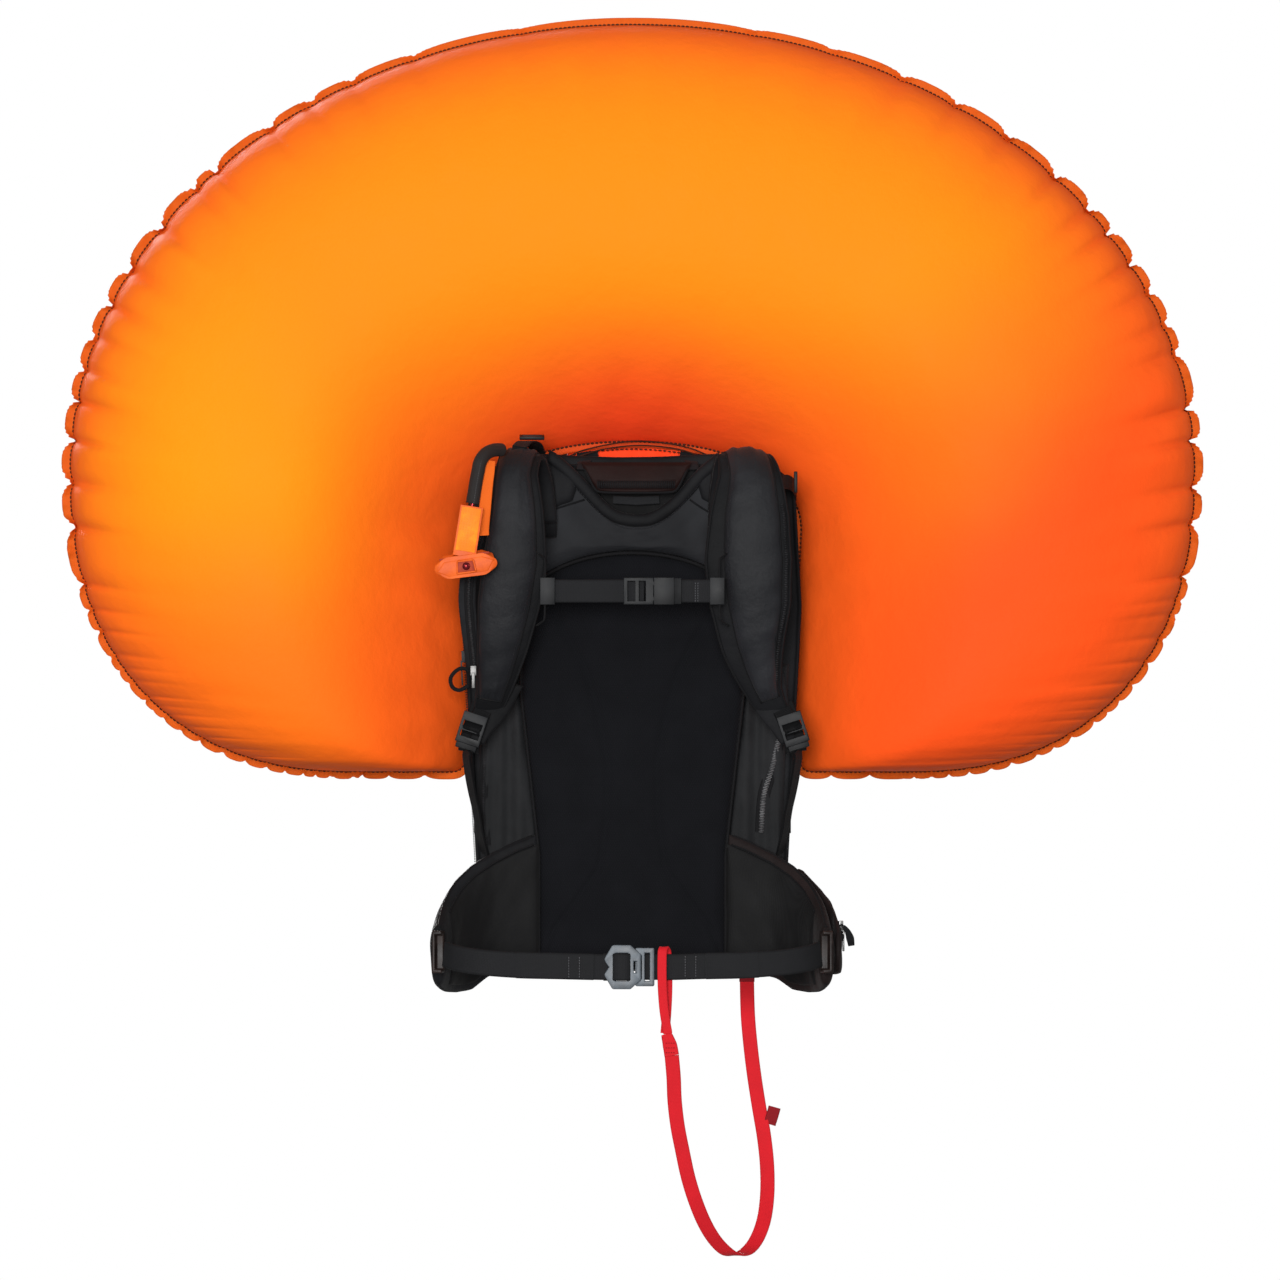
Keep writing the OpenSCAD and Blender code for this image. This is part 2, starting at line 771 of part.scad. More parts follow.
// Seam allowance that stands out all round the rim, with its binding
module airbag_seam() {
    outer = [for (k = [-44 : 44]) rim_point(k / 22)];
    inner = [for (k = [44 : -1 : -44]) notch_point(k / 22)];
    outline = concat(outer, inner);
    color("#c4451c") plate(airbag_y - 1.2, airbag_y + 1.2) difference() {
        offset(delta = 8) polygon(outline);
        offset(delta = 0.6) polygon(outline);
        // room for the throat in the crown of the notch, and for the bag between its legs
        translate([-74, notch_spring_z]) square([148, notch_rise]);
        bag_outline(bag_half_w - 8, bag_top - 6, -1.5);
    }
}

// Fabric throat from the blower up into the arch of the airbag
module airbag_neck() {
    color("#f06a1e") difference() {
        translate([-70, blower_y - 35, bag_top - 48]) cube([140, 70, 64]);
        translate([-67, blower_y - 32, bag_top - 50]) cube([134, 64, 80]);
    }
}

// Cover of the airbag's compartment, burst open and folded back
module airbag_lid() {
    color("#1d1e21") translate([0, 184, bag_top - 14]) rotate([-60, 0, 0]) plate(-2, 2)
        translate([0, 34]) offset(r = 12) square([150, 40], center = true);
}

// ---- Inflation unit ----

blower_at = [0, blower_y, 145];
blower_r = 62;
blower_len = 50;

// Frame of the blower: origin at the rear of the housing, +Z along its axis to the wearer
module at_blower() {
    translate(blower_at + [0, blower_len / 2, 0]) rotate([90, 0, 0]) children();
}

module blower_housing() {
    color("#30343a") at_blower() difference() {
        union() {
            cylinder(r = blower_r, h = blower_len, $fn = 64);
            translate([12, 0, 0]) cube([50, 70, blower_len]);
        }
        translate([0, 0, 3]) cylinder(r = blower_r - 3, h = blower_len, $fn = 64);
        translate([15, 0, 3]) cube([44, 80, blower_len - 6]);
        translate([0, 0, -1]) cylinder(r = 15.2, h = 6);
    }
}

module blower_cover() {
    color("#3a3e45") at_blower() translate([0, 0, blower_len + 0.2]) difference() {
        cylinder(r = blower_r, h = 3, $fn = 64);
        translate([0, 0, -1]) cylinder(r = 30, h = 6, $fn = 64);
    }
}

module impeller() {
    blades = 11;
    color("#cfd3d8") at_blower() difference() {
        union() {
            translate([0, 0, 8]) cylinder(r = 52, h = 2.4, $fn = 64);
            translate([0, 0, 8]) cylinder(r = 9, h = 26);
            for (k = [0 : blades - 1]) rotate([0, 0, k * 360 / blades]) translate([26, 0, 8]) rotate([0, 0, 38])
                translate([0, -1, 0]) cube([24, 2, 30]);
        }
        translate([0, 0, 5]) cylinder(r = 2.55, h = 40);
    }
}

module blower_motor() {
    color("#8f959c") at_blower() {
        translate([0, 0, -22]) cylinder(r = 15, h = 26);
        cylinder(r = 2.5, h = 32);
    }
}

// Flap in the blower's outlet that keeps the airbag full
module check_valve_flap() {
    color("#e8e8e4") translate(blower_at) translate([16, -blower_len / 2 + 3.8, 64]) union() {
        translate([1, 0, 0]) cube([41, blower_len - 7.6, 1.6]);
        translate([1.2, 0, 0.8]) rotate([-90, 0, 0]) cylinder(r = 1.4, h = blower_len - 7.6);
    }
}

case_at = [-150, 46, 60];
case_size = [84, 60, 140];

module controller_case() {
    color("#2b3036") translate(case_at) difference() {
        cube(case_size);
        translate([3, 3, 3]) cube(case_size - [6, 6, 6]);
        // battery bay, switch slot and charging socket
        translate([10, case_size[1] - 4, 10]) cube([40, 6, 60]);
        translate([62, case_size[1] - 4, 20]) cube([7, 6, 24]);
        translate([60, case_size[1] - 4, 70]) cube([9.4, 6, 3.6]);
    }
}

module supercapacitors() {
    color("#1f4e9c") for (x = [22, 60]) translate(case_at + [x, 24, 76]) cylinder(r = 17.5, h = 58);
}

module battery_cells() {
    color("#b98a2e") for (x = [20.5, 38.5]) translate(case_at + [x, 49, 14]) {
        cylinder(r = 7.2, h = 49);
        cylinder(r = 2.6, h = 50.5);
    }
}

module power_switch() {
    color("#e06a1c") translate(case_at + [62.6, case_size[1] - 6, 21]) union() {
        cube([5.8, 9, 9]);
        translate([-3, 0, -1]) cube([11.8, 2.6, 11]);
    }
}

module battery_door() {
    color("#353b42") translate(case_at + [10.6, case_size[1] - 3, 10.6]) cube([38.8, 3, 58.8]);
}

// ---- One node at a time ----

back_panel();
yoke();
frame_sheet();
frame_stay();
bag_shell();
front_panel();
tools_pocket();
carry_loops();
main_zip();
main_zip_slider();
shoulder_strap_left();
shoulder_strap_right();
strap_zip();
strap_zip_pull();
load_lifters();
ladder_locks();
lower_webbings();
side_zip();
sternum_rails();
sternum_sliders();
sternum_webbing();
sternum_buckle_plug();
sternum_buckle_socket();
haul_handle();
lumbar_wings();
hip_wing_left();
hip_wing_right();
hip_pocket();
hip_pocket_zip_slider();
hip_webbing_left();
hip_webbing_right();
hip_keeper_left();
hip_keeper_right();
hip_buckle_plate();
hip_buckle_frame();
leg_strap();
leg_eye();
leg_anchor();
leg_tag();
compression_straps();
compression_buckles();
tool_ring();
trigger_handle();
trigger_sheath();
trigger_cable();
airbag_front_panel();
airbag_rear_panel();
airbag_seam();
airbag_neck();
airbag_lid();
blower_housing();
blower_cover();
impeller();
blower_motor();
check_valve_flap();
controller_case();
supercapacitors();
battery_cells();
power_switch();
battery_door();
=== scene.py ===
import json
import math
from contextlib import contextmanager

import bmesh
import bpy
import numpy as np
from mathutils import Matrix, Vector

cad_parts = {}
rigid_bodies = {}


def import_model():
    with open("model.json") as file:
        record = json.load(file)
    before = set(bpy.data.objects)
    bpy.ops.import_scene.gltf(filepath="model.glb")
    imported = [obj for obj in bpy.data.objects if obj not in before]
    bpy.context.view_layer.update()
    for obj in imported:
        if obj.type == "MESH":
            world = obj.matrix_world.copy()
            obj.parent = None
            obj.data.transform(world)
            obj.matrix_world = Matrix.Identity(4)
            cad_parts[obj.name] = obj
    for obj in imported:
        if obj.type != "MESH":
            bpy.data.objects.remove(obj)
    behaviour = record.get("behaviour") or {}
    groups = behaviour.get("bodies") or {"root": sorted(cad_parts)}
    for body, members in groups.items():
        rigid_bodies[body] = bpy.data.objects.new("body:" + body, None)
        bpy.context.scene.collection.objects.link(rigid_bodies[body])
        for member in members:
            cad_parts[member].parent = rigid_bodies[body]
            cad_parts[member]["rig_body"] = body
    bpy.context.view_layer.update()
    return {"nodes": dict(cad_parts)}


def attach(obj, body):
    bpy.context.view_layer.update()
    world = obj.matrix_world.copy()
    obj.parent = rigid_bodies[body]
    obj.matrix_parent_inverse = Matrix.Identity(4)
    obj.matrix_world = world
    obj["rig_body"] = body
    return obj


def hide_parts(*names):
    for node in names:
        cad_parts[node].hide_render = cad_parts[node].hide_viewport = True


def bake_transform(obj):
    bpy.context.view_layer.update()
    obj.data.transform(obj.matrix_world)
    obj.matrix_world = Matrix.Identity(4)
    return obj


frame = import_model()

MM = 0.001
WELD = 0.02  # mm: points nearer than this are one point
NODES = frame["nodes"]
LEFT_RIGHT = {-1: "left", 1: "right"}



def place(name, data):
    """A new object in the scene."""
    ob = bpy.data.objects.new(name, data)
    bpy.context.scene.collection.objects.link(ob)
    return ob


# ------------------------------------------------------------------ camera
cam_data = bpy.data.cameras.new("camera")
cam_data.lens = 645.0
cam_data.sensor_width = 36
cam_data.clip_end = 60
cam = place("camera", cam_data)
cam.location = (0.008, -24.0, 0.075)
cam.rotation_euler = (math.radians(90), 0, 0)
bpy.context.scene.camera = cam
bpy.context.scene.view_settings.view_transform = "Standard"

# ------------------------------------------------------------------ small maths


def unit(v):
    v = np.asarray(v, float)
    return v / max(np.linalg.norm(v), 1e-12)


def unit_rows(v):
    return v / np.linalg.norm(v, axis=1)[:, None]


def curve(pts, n):
    """The same curve through points as the part's own sweeps use."""
    pts = [np.asarray(p, float) for p in pts]
    out = []
    last = len(pts) - 1
    for i in range(last):
        a, b, c, d = pts[max(i - 1, 0)], pts[i], pts[i + 1], pts[min(i + 2, last)]
        for k in range(n):
            t = k / n
            out.append(0.5 * (2 * b + (c - a) * t + (2 * a - 5 * b + 4 * c - d) * t * t
                              + (3 * b - a - 3 * c + d) * t ** 3))
    out.append(pts[last])
    return np.array(out)


def graded(vals, n):
    out = []
    for a, b in zip(vals, vals[1:]):
        out += [a + (b - a) * k / n for k in range(n)]
    return np.array(out + [vals[-1]], float)


def mirrored(pts):
    return [[-p[0], p[1], p[2]] for p in pts]


def lengths(path):
    d = np.linalg.norm(np.diff(path, axis=0), axis=1)
    return np.concatenate([[0], np.cumsum(d)])


def respace(path, step, *extra):
    """Points at even distances along a path, with any other columns carried along."""
    path = np.asarray(path, float)
    s = lengths(path)
    n = max(2, int(round(s[-1] / step)) + 1)
    t = np.linspace(0, s[-1], n)
    cols = [np.interp(t, s, path[:, k]) for k in range(path.shape[1])]
    more = [np.interp(t, s, np.broadcast_to(e, s.shape)) for e in extra]
    return (np.stack(cols, 1), *more)


def frames(path, wide):
    """Directions along a path, across it (near wide) and out of its face."""
    t = unit_rows(np.gradient(path, axis=0))
    w = np.broadcast_to(np.asarray(wide, float), t.shape)
    w = unit_rows(w - (w * t).sum(1)[:, None] * t)
    return t, w, np.cross(t, w)


def flat_normal(path):
    """Level directions square to a path."""
    t = np.gradient(path, axis=0)
    t[:, 2] = 0
    return np.cross(unit_rows(t), (0, 0, 1))


def waves(x, seed, low, high):
    """A smooth random wave of x with wavelengths from low to high, about -1 to 1."""
    r = np.random.default_rng(seed)
    out = np.zeros_like(x)
    total = 0
    for _ in range(7):
        lam = low * (high / low) ** r.random()
        amp = (lam / high) ** 0.4
        out += amp * np.sin(2 * np.pi * x / lam + r.random() * 7)
        total += amp
    return out / total * 1.9


def turn_x(degrees):
    c, s = math.cos(math.radians(degrees)), math.sin(math.radians(degrees))
    return np.array([[1, 0, 0], [0, c, -s], [0, s, c]])


def turn_y(degrees):
    c, s = math.cos(math.radians(degrees)), math.sin(math.radians(degrees))
    return np.array([[c, 0, s], [0, 1, 0], [-s, 0, c]])


# ------------------------------------------------------------------ mesh makers
def smoothed(me, angle=None):
    me.polygons.foreach_set("use_smooth", [True] * len(me.polygons))
    if angle:
        me.set_sharp_from_angle(angle=math.radians(angle))


@contextmanager
def editing(me):
    """A bmesh of a mesh that is written back to it."""
    bm = bmesh.new()
    bm.from_mesh(me)
    yield bm
    bm.to_mesh(me)
    bm.free()


def face_outwards(bm):
    bmesh.ops.recalc_face_normals(bm, faces=bm.faces)


def make(name, verts, faces, body, mat, slot, lie=None, smooth=True, sharp=None):
    """A piece from verts in millimetres. lie is each vertex's place in its cloth, in metres."""
    me = bpy.data.meshes.new(name)
    me.from_pydata((np.asarray(verts, float) * MM).tolist(), [], faces)
    me.validate()
    if lie is not None:
        a = me.attributes.new("lie", "FLOAT_VECTOR", "POINT")
        a.data.foreach_set("vector", np.asarray(lie, np.float32).reshape(-1))
    if smooth:
        smoothed(me, sharp)
    ob = place(name, me)
    with editing(me) as bm:
        face_outwards(bm)
    me.materials.append(mat)
    if body:
        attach(ob, body)
    return ob


def ring_quads(n, m, closed=False):
    """Faces between n rings of m points, and from the last ring to the first if closed."""
    return [(i * m + j, i * m + (j + 1) % m, (i + 1) % n * m + (j + 1) % m, (i + 1) % n * m + j)
            for i in range(n if closed else n - 1) for j in range(m)]


def loft(rings):
    """A closed skin over rings of equal size: returns verts and faces."""
    n, m = len(rings), len(rings[0])
    v = np.concatenate(rings + [[rings[0].mean(0)], [rings[-1].mean(0)]])
    f = ring_quads(n, m)
    for j in range(m):
        k = (j + 1) % m
        f += [(n * m, k, j), (n * m + 1, (n - 1) * m + j, (n - 1) * m + k)]
    return v, f


def skin(rings, lie, s):
    """loft, with the lie of the points in the middle of its two ends."""
    return *loft(rings), lie + [(0, 0, 0), (0, s[-1] * MM, 0)]


def ribbon(name, path, width, thick, body, mat, slot, wide=(1, 0, 0), step=3.0, wave=0.0, seed=1,
           make_it=True):
    """Flat webbing with rounded selvedges along a path, in millimetres."""
    path, w = respace(path, step, width)
    s = lengths(path)
    _, wv, mv = frames(path, wide)
    if wave:
        path = path + mv * (waves(s, seed, 25, 70) * wave)[:, None]
    us = np.array([-1, -0.97, -0.86, -0.6, -0.3, 0, 0.3, 0.6, 0.86, 0.97, 1])
    hs = np.array([0.25, 0.8, 1.08, 0.96, 1, 1, 1, 0.96, 1.08, 0.8, 0.25])
    sec = [(u, h) for u, h in zip(us, hs)] + [(u, -h) for u, h in zip(us[::-1], hs[::-1])]
    rings, lie = [], []
    for i in range(len(path)):
        rings.append(np.array([path[i] + wv[i] * (u * w[i] / 2) + mv[i] * (h * thick / 2) for u, h in sec]))
        lie += [(u * w[i] / 2 * MM, s[i] * MM, u) for u, h in sec]
    v, f, lie = skin(rings, lie, s)
    return make(name, v, f, body, mat, slot, lie, sharp=50) if make_it else (v, f, lie)


def merge(parts):
    """Joins (verts, faces, lie) triples into one."""
    vs, fs, ls, base = [], [], [], 0
    for v, f, lie in parts:
        vs.append(v)
        fs += [tuple(i + base for i in q) for q in f]
        ls += list(lie)
        base += len(v)
    return np.concatenate(vs), fs, ls


def ribbons(name, runs, body, mat, slot, **kw):
    parts = [ribbon(name, p, w, t, body, mat, slot, wide=wd, make_it=False, **kw) for p, w, t, wd in runs]
    v, f, lie = merge(parts)
    return make(name, v, f, body, mat, slot, lie, sharp=50)


def rope(path, r, sides=10, wide=(0.3, 0.2, 1), step=2.5):
    path, rr = respace(path, step, r)
    s = lengths(path)
    _, wv, mv = frames(path, wide)
    rings, lie = [], []
    for i in range(len(path)):
        a = np.arange(sides) * 2 * np.pi / sides
        rings.append(path[i] + rr[i] * (np.cos(a)[:, None] * wv[i] + np.sin(a)[:, None] * mv[i]))
        lie += [(rr[i] * MM * x, s[i] * MM, math.sin(x)) for x in a]
    return skin(rings, lie, s)


def cord_mesh(name, path, r, body, mat, slot, **kw):
    v, f, lie = rope(path, r, **kw)
    return make(name, v, f, body, mat, slot, lie)


def piping(name, path, r, slot="pack_fabric", body="pack", step=2.5):
    return cord_mesh(name, path, r, body, BINDING, slot, wide=(0, 1, 0), step=step)


def stitches(name, lines, body, mat, slot, pitch=3.4, gap=0.9, r=0.42, lift=0.2):
    """Rows of thread along lines of (points, outward directions)."""
    vs, fs = [], []
    for pts, out in lines:
        pts = np.asarray(pts, float)
        out = np.broadcast_to(np.asarray(out, float), pts.shape)
        p, ox, oy, oz = respace(pts, 1.0, out[:, 0], out[:, 1], out[:, 2])
        o = np.stack([ox, oy, oz], 1)
        s = lengths(p)
        for a in np.arange(0, s[-1] - pitch + gap, pitch):
            b = min(a + pitch - gap, s[-1])
            q = [np.array([np.interp(x, s, p[:, k]) for k in range(3)]) for x in (a, (a + b) / 2, b)]
            oo = unit([np.interp((a + b) / 2, s, o[:, k]) for k in range(3)])
            t = unit(q[2] - q[0])
            w = unit(np.cross(t, oo))
            base = len(vs)
            for c, k, h in ((q[0], 0.45, -0.3), (q[1], 1.0, lift), (q[2], 0.45, -0.3)):
                for x, y in ((-1, 0), (0, 1), (1, 0), (0, -1)):
                    vs.append(c + w * x * r * k + oo * (y * r * k + h))
            for g in (0, 4):
                for j in range(4):
                    l = (j + 1) % 4
                    fs.append((base + g + j, base + g + l, base + g + 4 + l, base + g + 4 + j))
            fs += [(base, base + 1, base + 2, base + 3), (base + 8, base + 11, base + 10, base + 9)]
    return make(name, vs, fs, body, mat, slot)


def round_section(sides):
    """Places across a stuffed strip, -1 to 1 and back, and the face that each is on."""
    half = sides // 2
    u = [-np.cos(np.pi * np.arange(half + 1) / half), np.cos(np.pi * np.arange(1, half) / half)]
    return np.concatenate(u), np.repeat([1.0, -1.0], [half + 1, half - 1])


def padding(name, path, widths, thick, body, mat, slot, wide=(1, 0, 0), step=4.0, edge=1.2,
            sides=28, puff=0.0, seed=1, power=2.6, front=1.0, back=0.75, ends=6.0, pleat=0.0):
    """A stuffed strip along a path: full in the middle, pinched at its sewn edges and ends."""
    path, w = respace(path, step, widths)
    s = lengths(path)
    _, wv, mv = frames(path, wide)
    u, top = round_section(sides)
    rings, lie = [], []
    for i in range(len(path)):
        end = min(1.0, (min(s[i], s[-1] - s[i]) + 0.8) / ends) ** 0.5
        h = (1 - np.abs(u) ** power) ** 0.5 * (thick / 2 - edge / 2) * end + edge / 2
        h = np.where(top > 0, h * front, -h * back)
        if puff:
            lump = waves(np.full_like(u, s[i]) + u * 9, seed, 22, 60) * (0.3 + 0.7 * np.abs(u) ** 1.5)
            h = h + np.where(np.abs(u) < 0.97, lump * puff * np.sign(top) * end, 0)
        if pleat:
            near = math.exp(-max(0, s[i] - 45) / 34) + 0.8 * math.exp(-(s[-1] - s[i]) / 20)
            tuck = np.sin(u * 7.5 + 0.8 * math.sin(s[i] / 17)) * 0.6 + np.sin(u * 13 + 1 + s[i] / 31) * 0.4
            h = h + np.where(np.abs(u) < 0.97, tuck * pleat * near * end * np.sign(top), 0)
        ww = w[i] / 2 * (1 + 0.012 * math.sin(s[i] / 9.0))
        rings.append(path[i] + wv[i] * (u * ww)[:, None] + mv[i] * h[:, None])
        lie += [(x * ww * MM, s[i] * MM, x) for x in u]
    v, f, lie = skin(rings, lie, s)
    return make(name, v, f, body, mat, slot, lie)


def quilt(name, mid, half, nu, nv, body, mat, slot, n=(0, -1, 0), back=0.6, us=None, vs=None):
    """A closed pad from mid(u, v), its middle surface, and half(u, v), its half thickness. n is its front."""
    us = np.linspace(0, 1, nu) if us is None else us
    vs = np.linspace(0, 1, nv) if vs is None else vs
    uu, vv = np.meshgrid(us, vs, indexing="ij")
    p = mid(uu, vv)
    h = np.maximum(half(uu, vv), 0.7)[..., None]
    n = np.asarray(n, float)
    nu, nv = len(us), len(vs)
    fr, bk = (p + n * h).reshape(-1, 3), (p - n * h * back).reshape(-1, 3)
    v = np.concatenate([fr, bk])
    idx = np.arange(nu * nv).reshape(nu, nv)
    f = []
    for i in range(nu - 1):
        for j in range(nv - 1):
            q = (idx[i, j], idx[i + 1, j], idx[i + 1, j + 1], idx[i, j + 1])
            f += [tuple(int(x) for x in q), tuple(int(x) + nu * nv for x in q[::-1])]
    ring = [idx[i, 0] for i in range(nu)] + [idx[-1, j] for j in range(1, nv)]
    ring += [idx[i, -1] for i in range(nu - 2, -1, -1)] + [idx[0, j] for j in range(nv - 2, 0, -1)]
    for a, b in zip(ring, ring[1:] + ring[:1]):
        f.append((int(a), int(b), int(b) + nu * nv, int(a) + nu * nv))
    lie = np.stack([v[:, 0] * MM, v[:, 2] * MM, np.zeros(len(v))], 1)
    return make(name, v, f, body, mat, slot, lie)


def both_ends(n):
    """n places from -1 to 1, closest at the ends."""
    return np.sin(np.linspace(-np.pi / 2, np.pi / 2, n))


def to_edges(n):
    """n places from 0 to 1, closest at the ends."""
    return 0.5 - 0.5 * np.cos(np.linspace(0, np.pi, n))


def block(parts):
    """Boxes as (centre, size, 3x3 rotation or None) in one list of verts and faces."""
    vs, fs = [], []
    for c, d, r in parts:
        base = len(vs)
        for x in (-1, 1):
            for y in (-1, 1):
                for z in (-1, 1):
                    q = np.array([x * d[0] / 2, y * d[1] / 2, z * d[2] / 2])
                    vs.append(np.asarray(c, float) + (q if r is None else np.asarray(r) @ q))
        for q in ((0, 1, 3, 2), (4, 6, 7, 5), (0, 4, 5, 1), (2, 3, 7, 6), (0, 2, 6, 4), (1, 5, 7, 3)):
            fs.append(tuple(base + k for k in q))
    return vs, fs


def zipper(name, path, out, body, mat, slot, width=6.0, pitch=2.4):
    """Interlocked coil teeth along a path."""
    p, _ = respace(path, pitch, 1.0)
    t = frames(p, (0, 0, 1) if abs(out[2]) < 0.5 else (1, 0, 0))[0]
    o = unit(out)
    parts = []
    for i in range(len(p)):
        w = unit(np.cross(t[i], o))
        oo = unit(np.cross(w, t[i]))
        r = np.stack([w, t[i], oo], 1)
        side = 1 if i % 2 else -1
        parts.append((p[i] + w * side * width * 0.06, (width * 0.84, pitch * 0.6, 1.3), r))
    return make(name, *block(parts), body, mat, slot)


def rounded(node, width, mat):
    """A copy of a rigid CAD node with its edges rounded, which stands for that node."""
    src = NODES[node]
    me = src.data.copy()
    me.name = node + "_finished"
    with editing(me) as bm:
        bmesh.ops.remove_doubles(bm, verts=bm.verts, dist=WELD * MM)
        bmesh.ops.dissolve_limit(bm, angle_limit=math.radians(2), verts=bm.verts, edges=bm.edges)
        edges = [e for e in bm.edges if len(e.link_faces) == 2 and e.calc_face_angle(0) > math.radians(28)]
        bmesh.ops.bevel(bm, geom=edges, offset=width * MM, segments=2, profile=0.6, affect="EDGES",
                        clamp_overlap=True)
        bmesh.ops.triangulate(bm, faces=[f for f in bm.faces if len(f.verts) > 4])
    smoothed(me, 32)
    ob = place(me.name, me)
    me.materials.clear()
    me.materials.append(mat)
    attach(ob, src["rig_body"])
    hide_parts(node)
    return ob


def dress(node, mat):
    """Gives a CAD node that shows as it is its material."""
    NODES[node].data.materials.clear()
    NODES[node].data.materials.append(mat)


# ------------------------------------------------------------------ materials
class Nodes:
    """Short hand for building a node material."""

    def __init__(self, name):
        self.m = bpy.data.materials.new(name)
        self.m.use_nodes = True
        self.t = self.m.node_tree
        self.t.nodes.clear()
        self.out = self.t.nodes.new("ShaderNodeOutputMaterial")
        self.p = self.t.nodes.new("ShaderNodeBsdfPrincipled")
        self.t.links.new(self.p.outputs[0], self.out.inputs[0])

    def n(self, kind, **kw):
        nd = self.t.nodes.new("ShaderNode" + kind)
        for k, v in kw.items():
            setattr(nd, k, v)
        return nd

    def link(self, a, b):
        self.t.links.new(a, b)

    def feed(self, nd, **given):
        """Gives a node's inputs their numbers, colours or links. Returns its first output."""
        for key, x in given.items():
            self.put(x, nd.inputs[key.replace("_", " ")])
        return nd.outputs[0]

    def put(self, x, socket):
        if isinstance(x, (int, float)):
            socket.default_value = x
        elif isinstance(x, tuple):
            socket.default_value = (*x, 1)
        elif x is not None:
            self.link(x, socket)

    def math(self, op, *given):
        nd = self.n("Math", operation=op)
        for x, socket in zip(given, nd.inputs):
            self.put(x, socket)
        return nd.outputs[0]

    def mul(self, a, b):
        return self.math("MULTIPLY", a, b)

    def add(self, a, b):
        return self.math("ADD", a, b)

    def mad(self, a, b, c):
        return self.math("MULTIPLY_ADD", a, b, c)

    def mix(self, fac, a, b):
        nd = self.n("Mix", data_type="RGBA")
        for x, i in ((fac, 0), (a, 6), (b, 7)):
            self.put(x, nd.inputs[i])
        return nd.outputs[2]

    def noise(self, vec, scale, detail=3.0, rough=0.55):
        return self.feed(self.n("TexNoise"), Scale=scale, Detail=detail, Roughness=rough, Vector=vec)

    def ramp(self, fac, lo, hi):
        nd = self.n("MapRange", interpolation_type="SMOOTHSTEP")
        return self.feed(nd, From_Min=lo, From_Max=hi, Value=fac)

    def coord(self):
        return self.n("TexCoord").outputs["Object"]

    def lie(self):
        return self.n("Attribute", attribute_name="lie").outputs["Vector"]

    def split(self, vec):
        nd = self.n("SeparateXYZ")
        self.link(vec, nd.inputs[0])
        return nd.outputs[:3]

    def wave(self, x, period):
        """A sine of x with this period in metres, from 0 to 1."""
        s = self.math("SINE", self.mul(x, 2 * math.pi / period))
        return self.mad(s, 0.5, 0.5)

    def bump(self, height, distance, strength=1.0, under=None):
        return self.feed(self.n("Bump"), Strength=strength, Distance=distance, Height=height, Normal=under)

    def done(self, color, rough, normal, **fixed):
        self.feed(self.p, Base_Color=color, Roughness=rough, Normal=normal, **fixed)
        return self.m


def cloth(name, dark, light, yarn=0.9, depth=0.12, rough=0.62, sheen=0.03, crease=0.5, scale=28.0, spec=0.09):
    """Plain woven pack cloth: a fine over and under weave, faint creases and rubbed lighter patches."""
    k = Nodes(name)
    c = k.coord()
    x, y, z = k.split(c)
    over = k.mul(k.wave(k.add(x, y), yarn * MM), k.wave(k.add(z, y), yarn * MM))
    big = k.noise(c, scale, 4.0, 0.6)
    worn = k.ramp(k.noise(c, 9.0, 3.0), 0.42, 0.68)
    fleck = k.noise(c, 900.0, 1.0)
    tone = k.mad(over, 0.35, k.mul(worn, 0.45))
    tone = k.mad(fleck, 0.2, tone)
    low = k.bump(big, 0.0045, crease)
    fine = k.bump(over, depth * MM, 0.7, low)
    col = k.mix(tone, dark, light)
    r = k.mad(big, 0.16, rough - 0.08)
    return k.done(col, r, fine, Sheen_Weight=sheen, Sheen_Roughness=0.45, Specular_IOR_Level=spec)


def knit(name, dark, light):
    """Open spacer mesh: staggered eyelets over a soft pile."""
    k = Nodes(name)
    c = k.coord()
    x, _, z = k.split(c)
    cell = 2.6 * MM
    a = k.wave(k.add(x, k.mul(z, 0.5)), cell)
    b = k.wave(k.math("SUBTRACT", x, k.mul(z, 0.5)), cell)
    eye = k.mul(a, b)
    soft = k.noise(c, 22.0, 3.0)
    grain = k.noise(c, 700.0, 2.0)
    tone = k.mad(soft, 0.5, k.mul(eye, 0.35))
    col = k.mix(k.mad(grain, 0.3, tone), dark, light)
    nrm = k.bump(eye, 0.35 * MM, 0.8, k.bump(soft, 0.004, 0.35))
    return k.done(col, 0.86, nrm, Sheen_Weight=0.03, Sheen_Roughness=0.5, Specular_IOR_Level=0.06)


def webbing(name, dark, light, pitch=1.7, yarn=1.25, sheen=0.02, depth=0.3, spec=0.09):
    """Woven strap: ribs across its width, yarns along it and a tighter selvedge."""
    k = Nodes(name)
    v = k.lie()
    u, s, e = k.split(v)
    yarns = k.wave(u, yarn * MM)
    shift = k.mul(k.wave(u, 2 * yarn * MM), pitch * 0.5 * MM)
    ribs = k.wave(k.add(s, shift), pitch * MM)
    over = k.mad(ribs, 0.65, k.mul(yarns, 0.35))
    edge = k.ramp(k.math("ABSOLUTE", e), 0.8, 0.9)
    c = k.coord()
    worn = k.noise(c, 45.0, 3.0)
    fleck = k.noise(c, 1200.0, 1.0)
    tone = k.mad(over, 0.5, k.mul(worn, 0.35))
    tone = k.mad(fleck, 0.2, tone)
    tone = k.math("SUBTRACT", tone, k.mul(edge, 0.18))
    nrm = k.bump(over, depth * MM, 0.9, k.bump(worn, 0.001, 0.4))
    return k.done(k.mix(tone, dark, light), k.mad(worn, 0.2, 0.5), nrm,
                  Sheen_Weight=sheen, Sheen_Roughness=0.4, Specular_IOR_Level=spec)


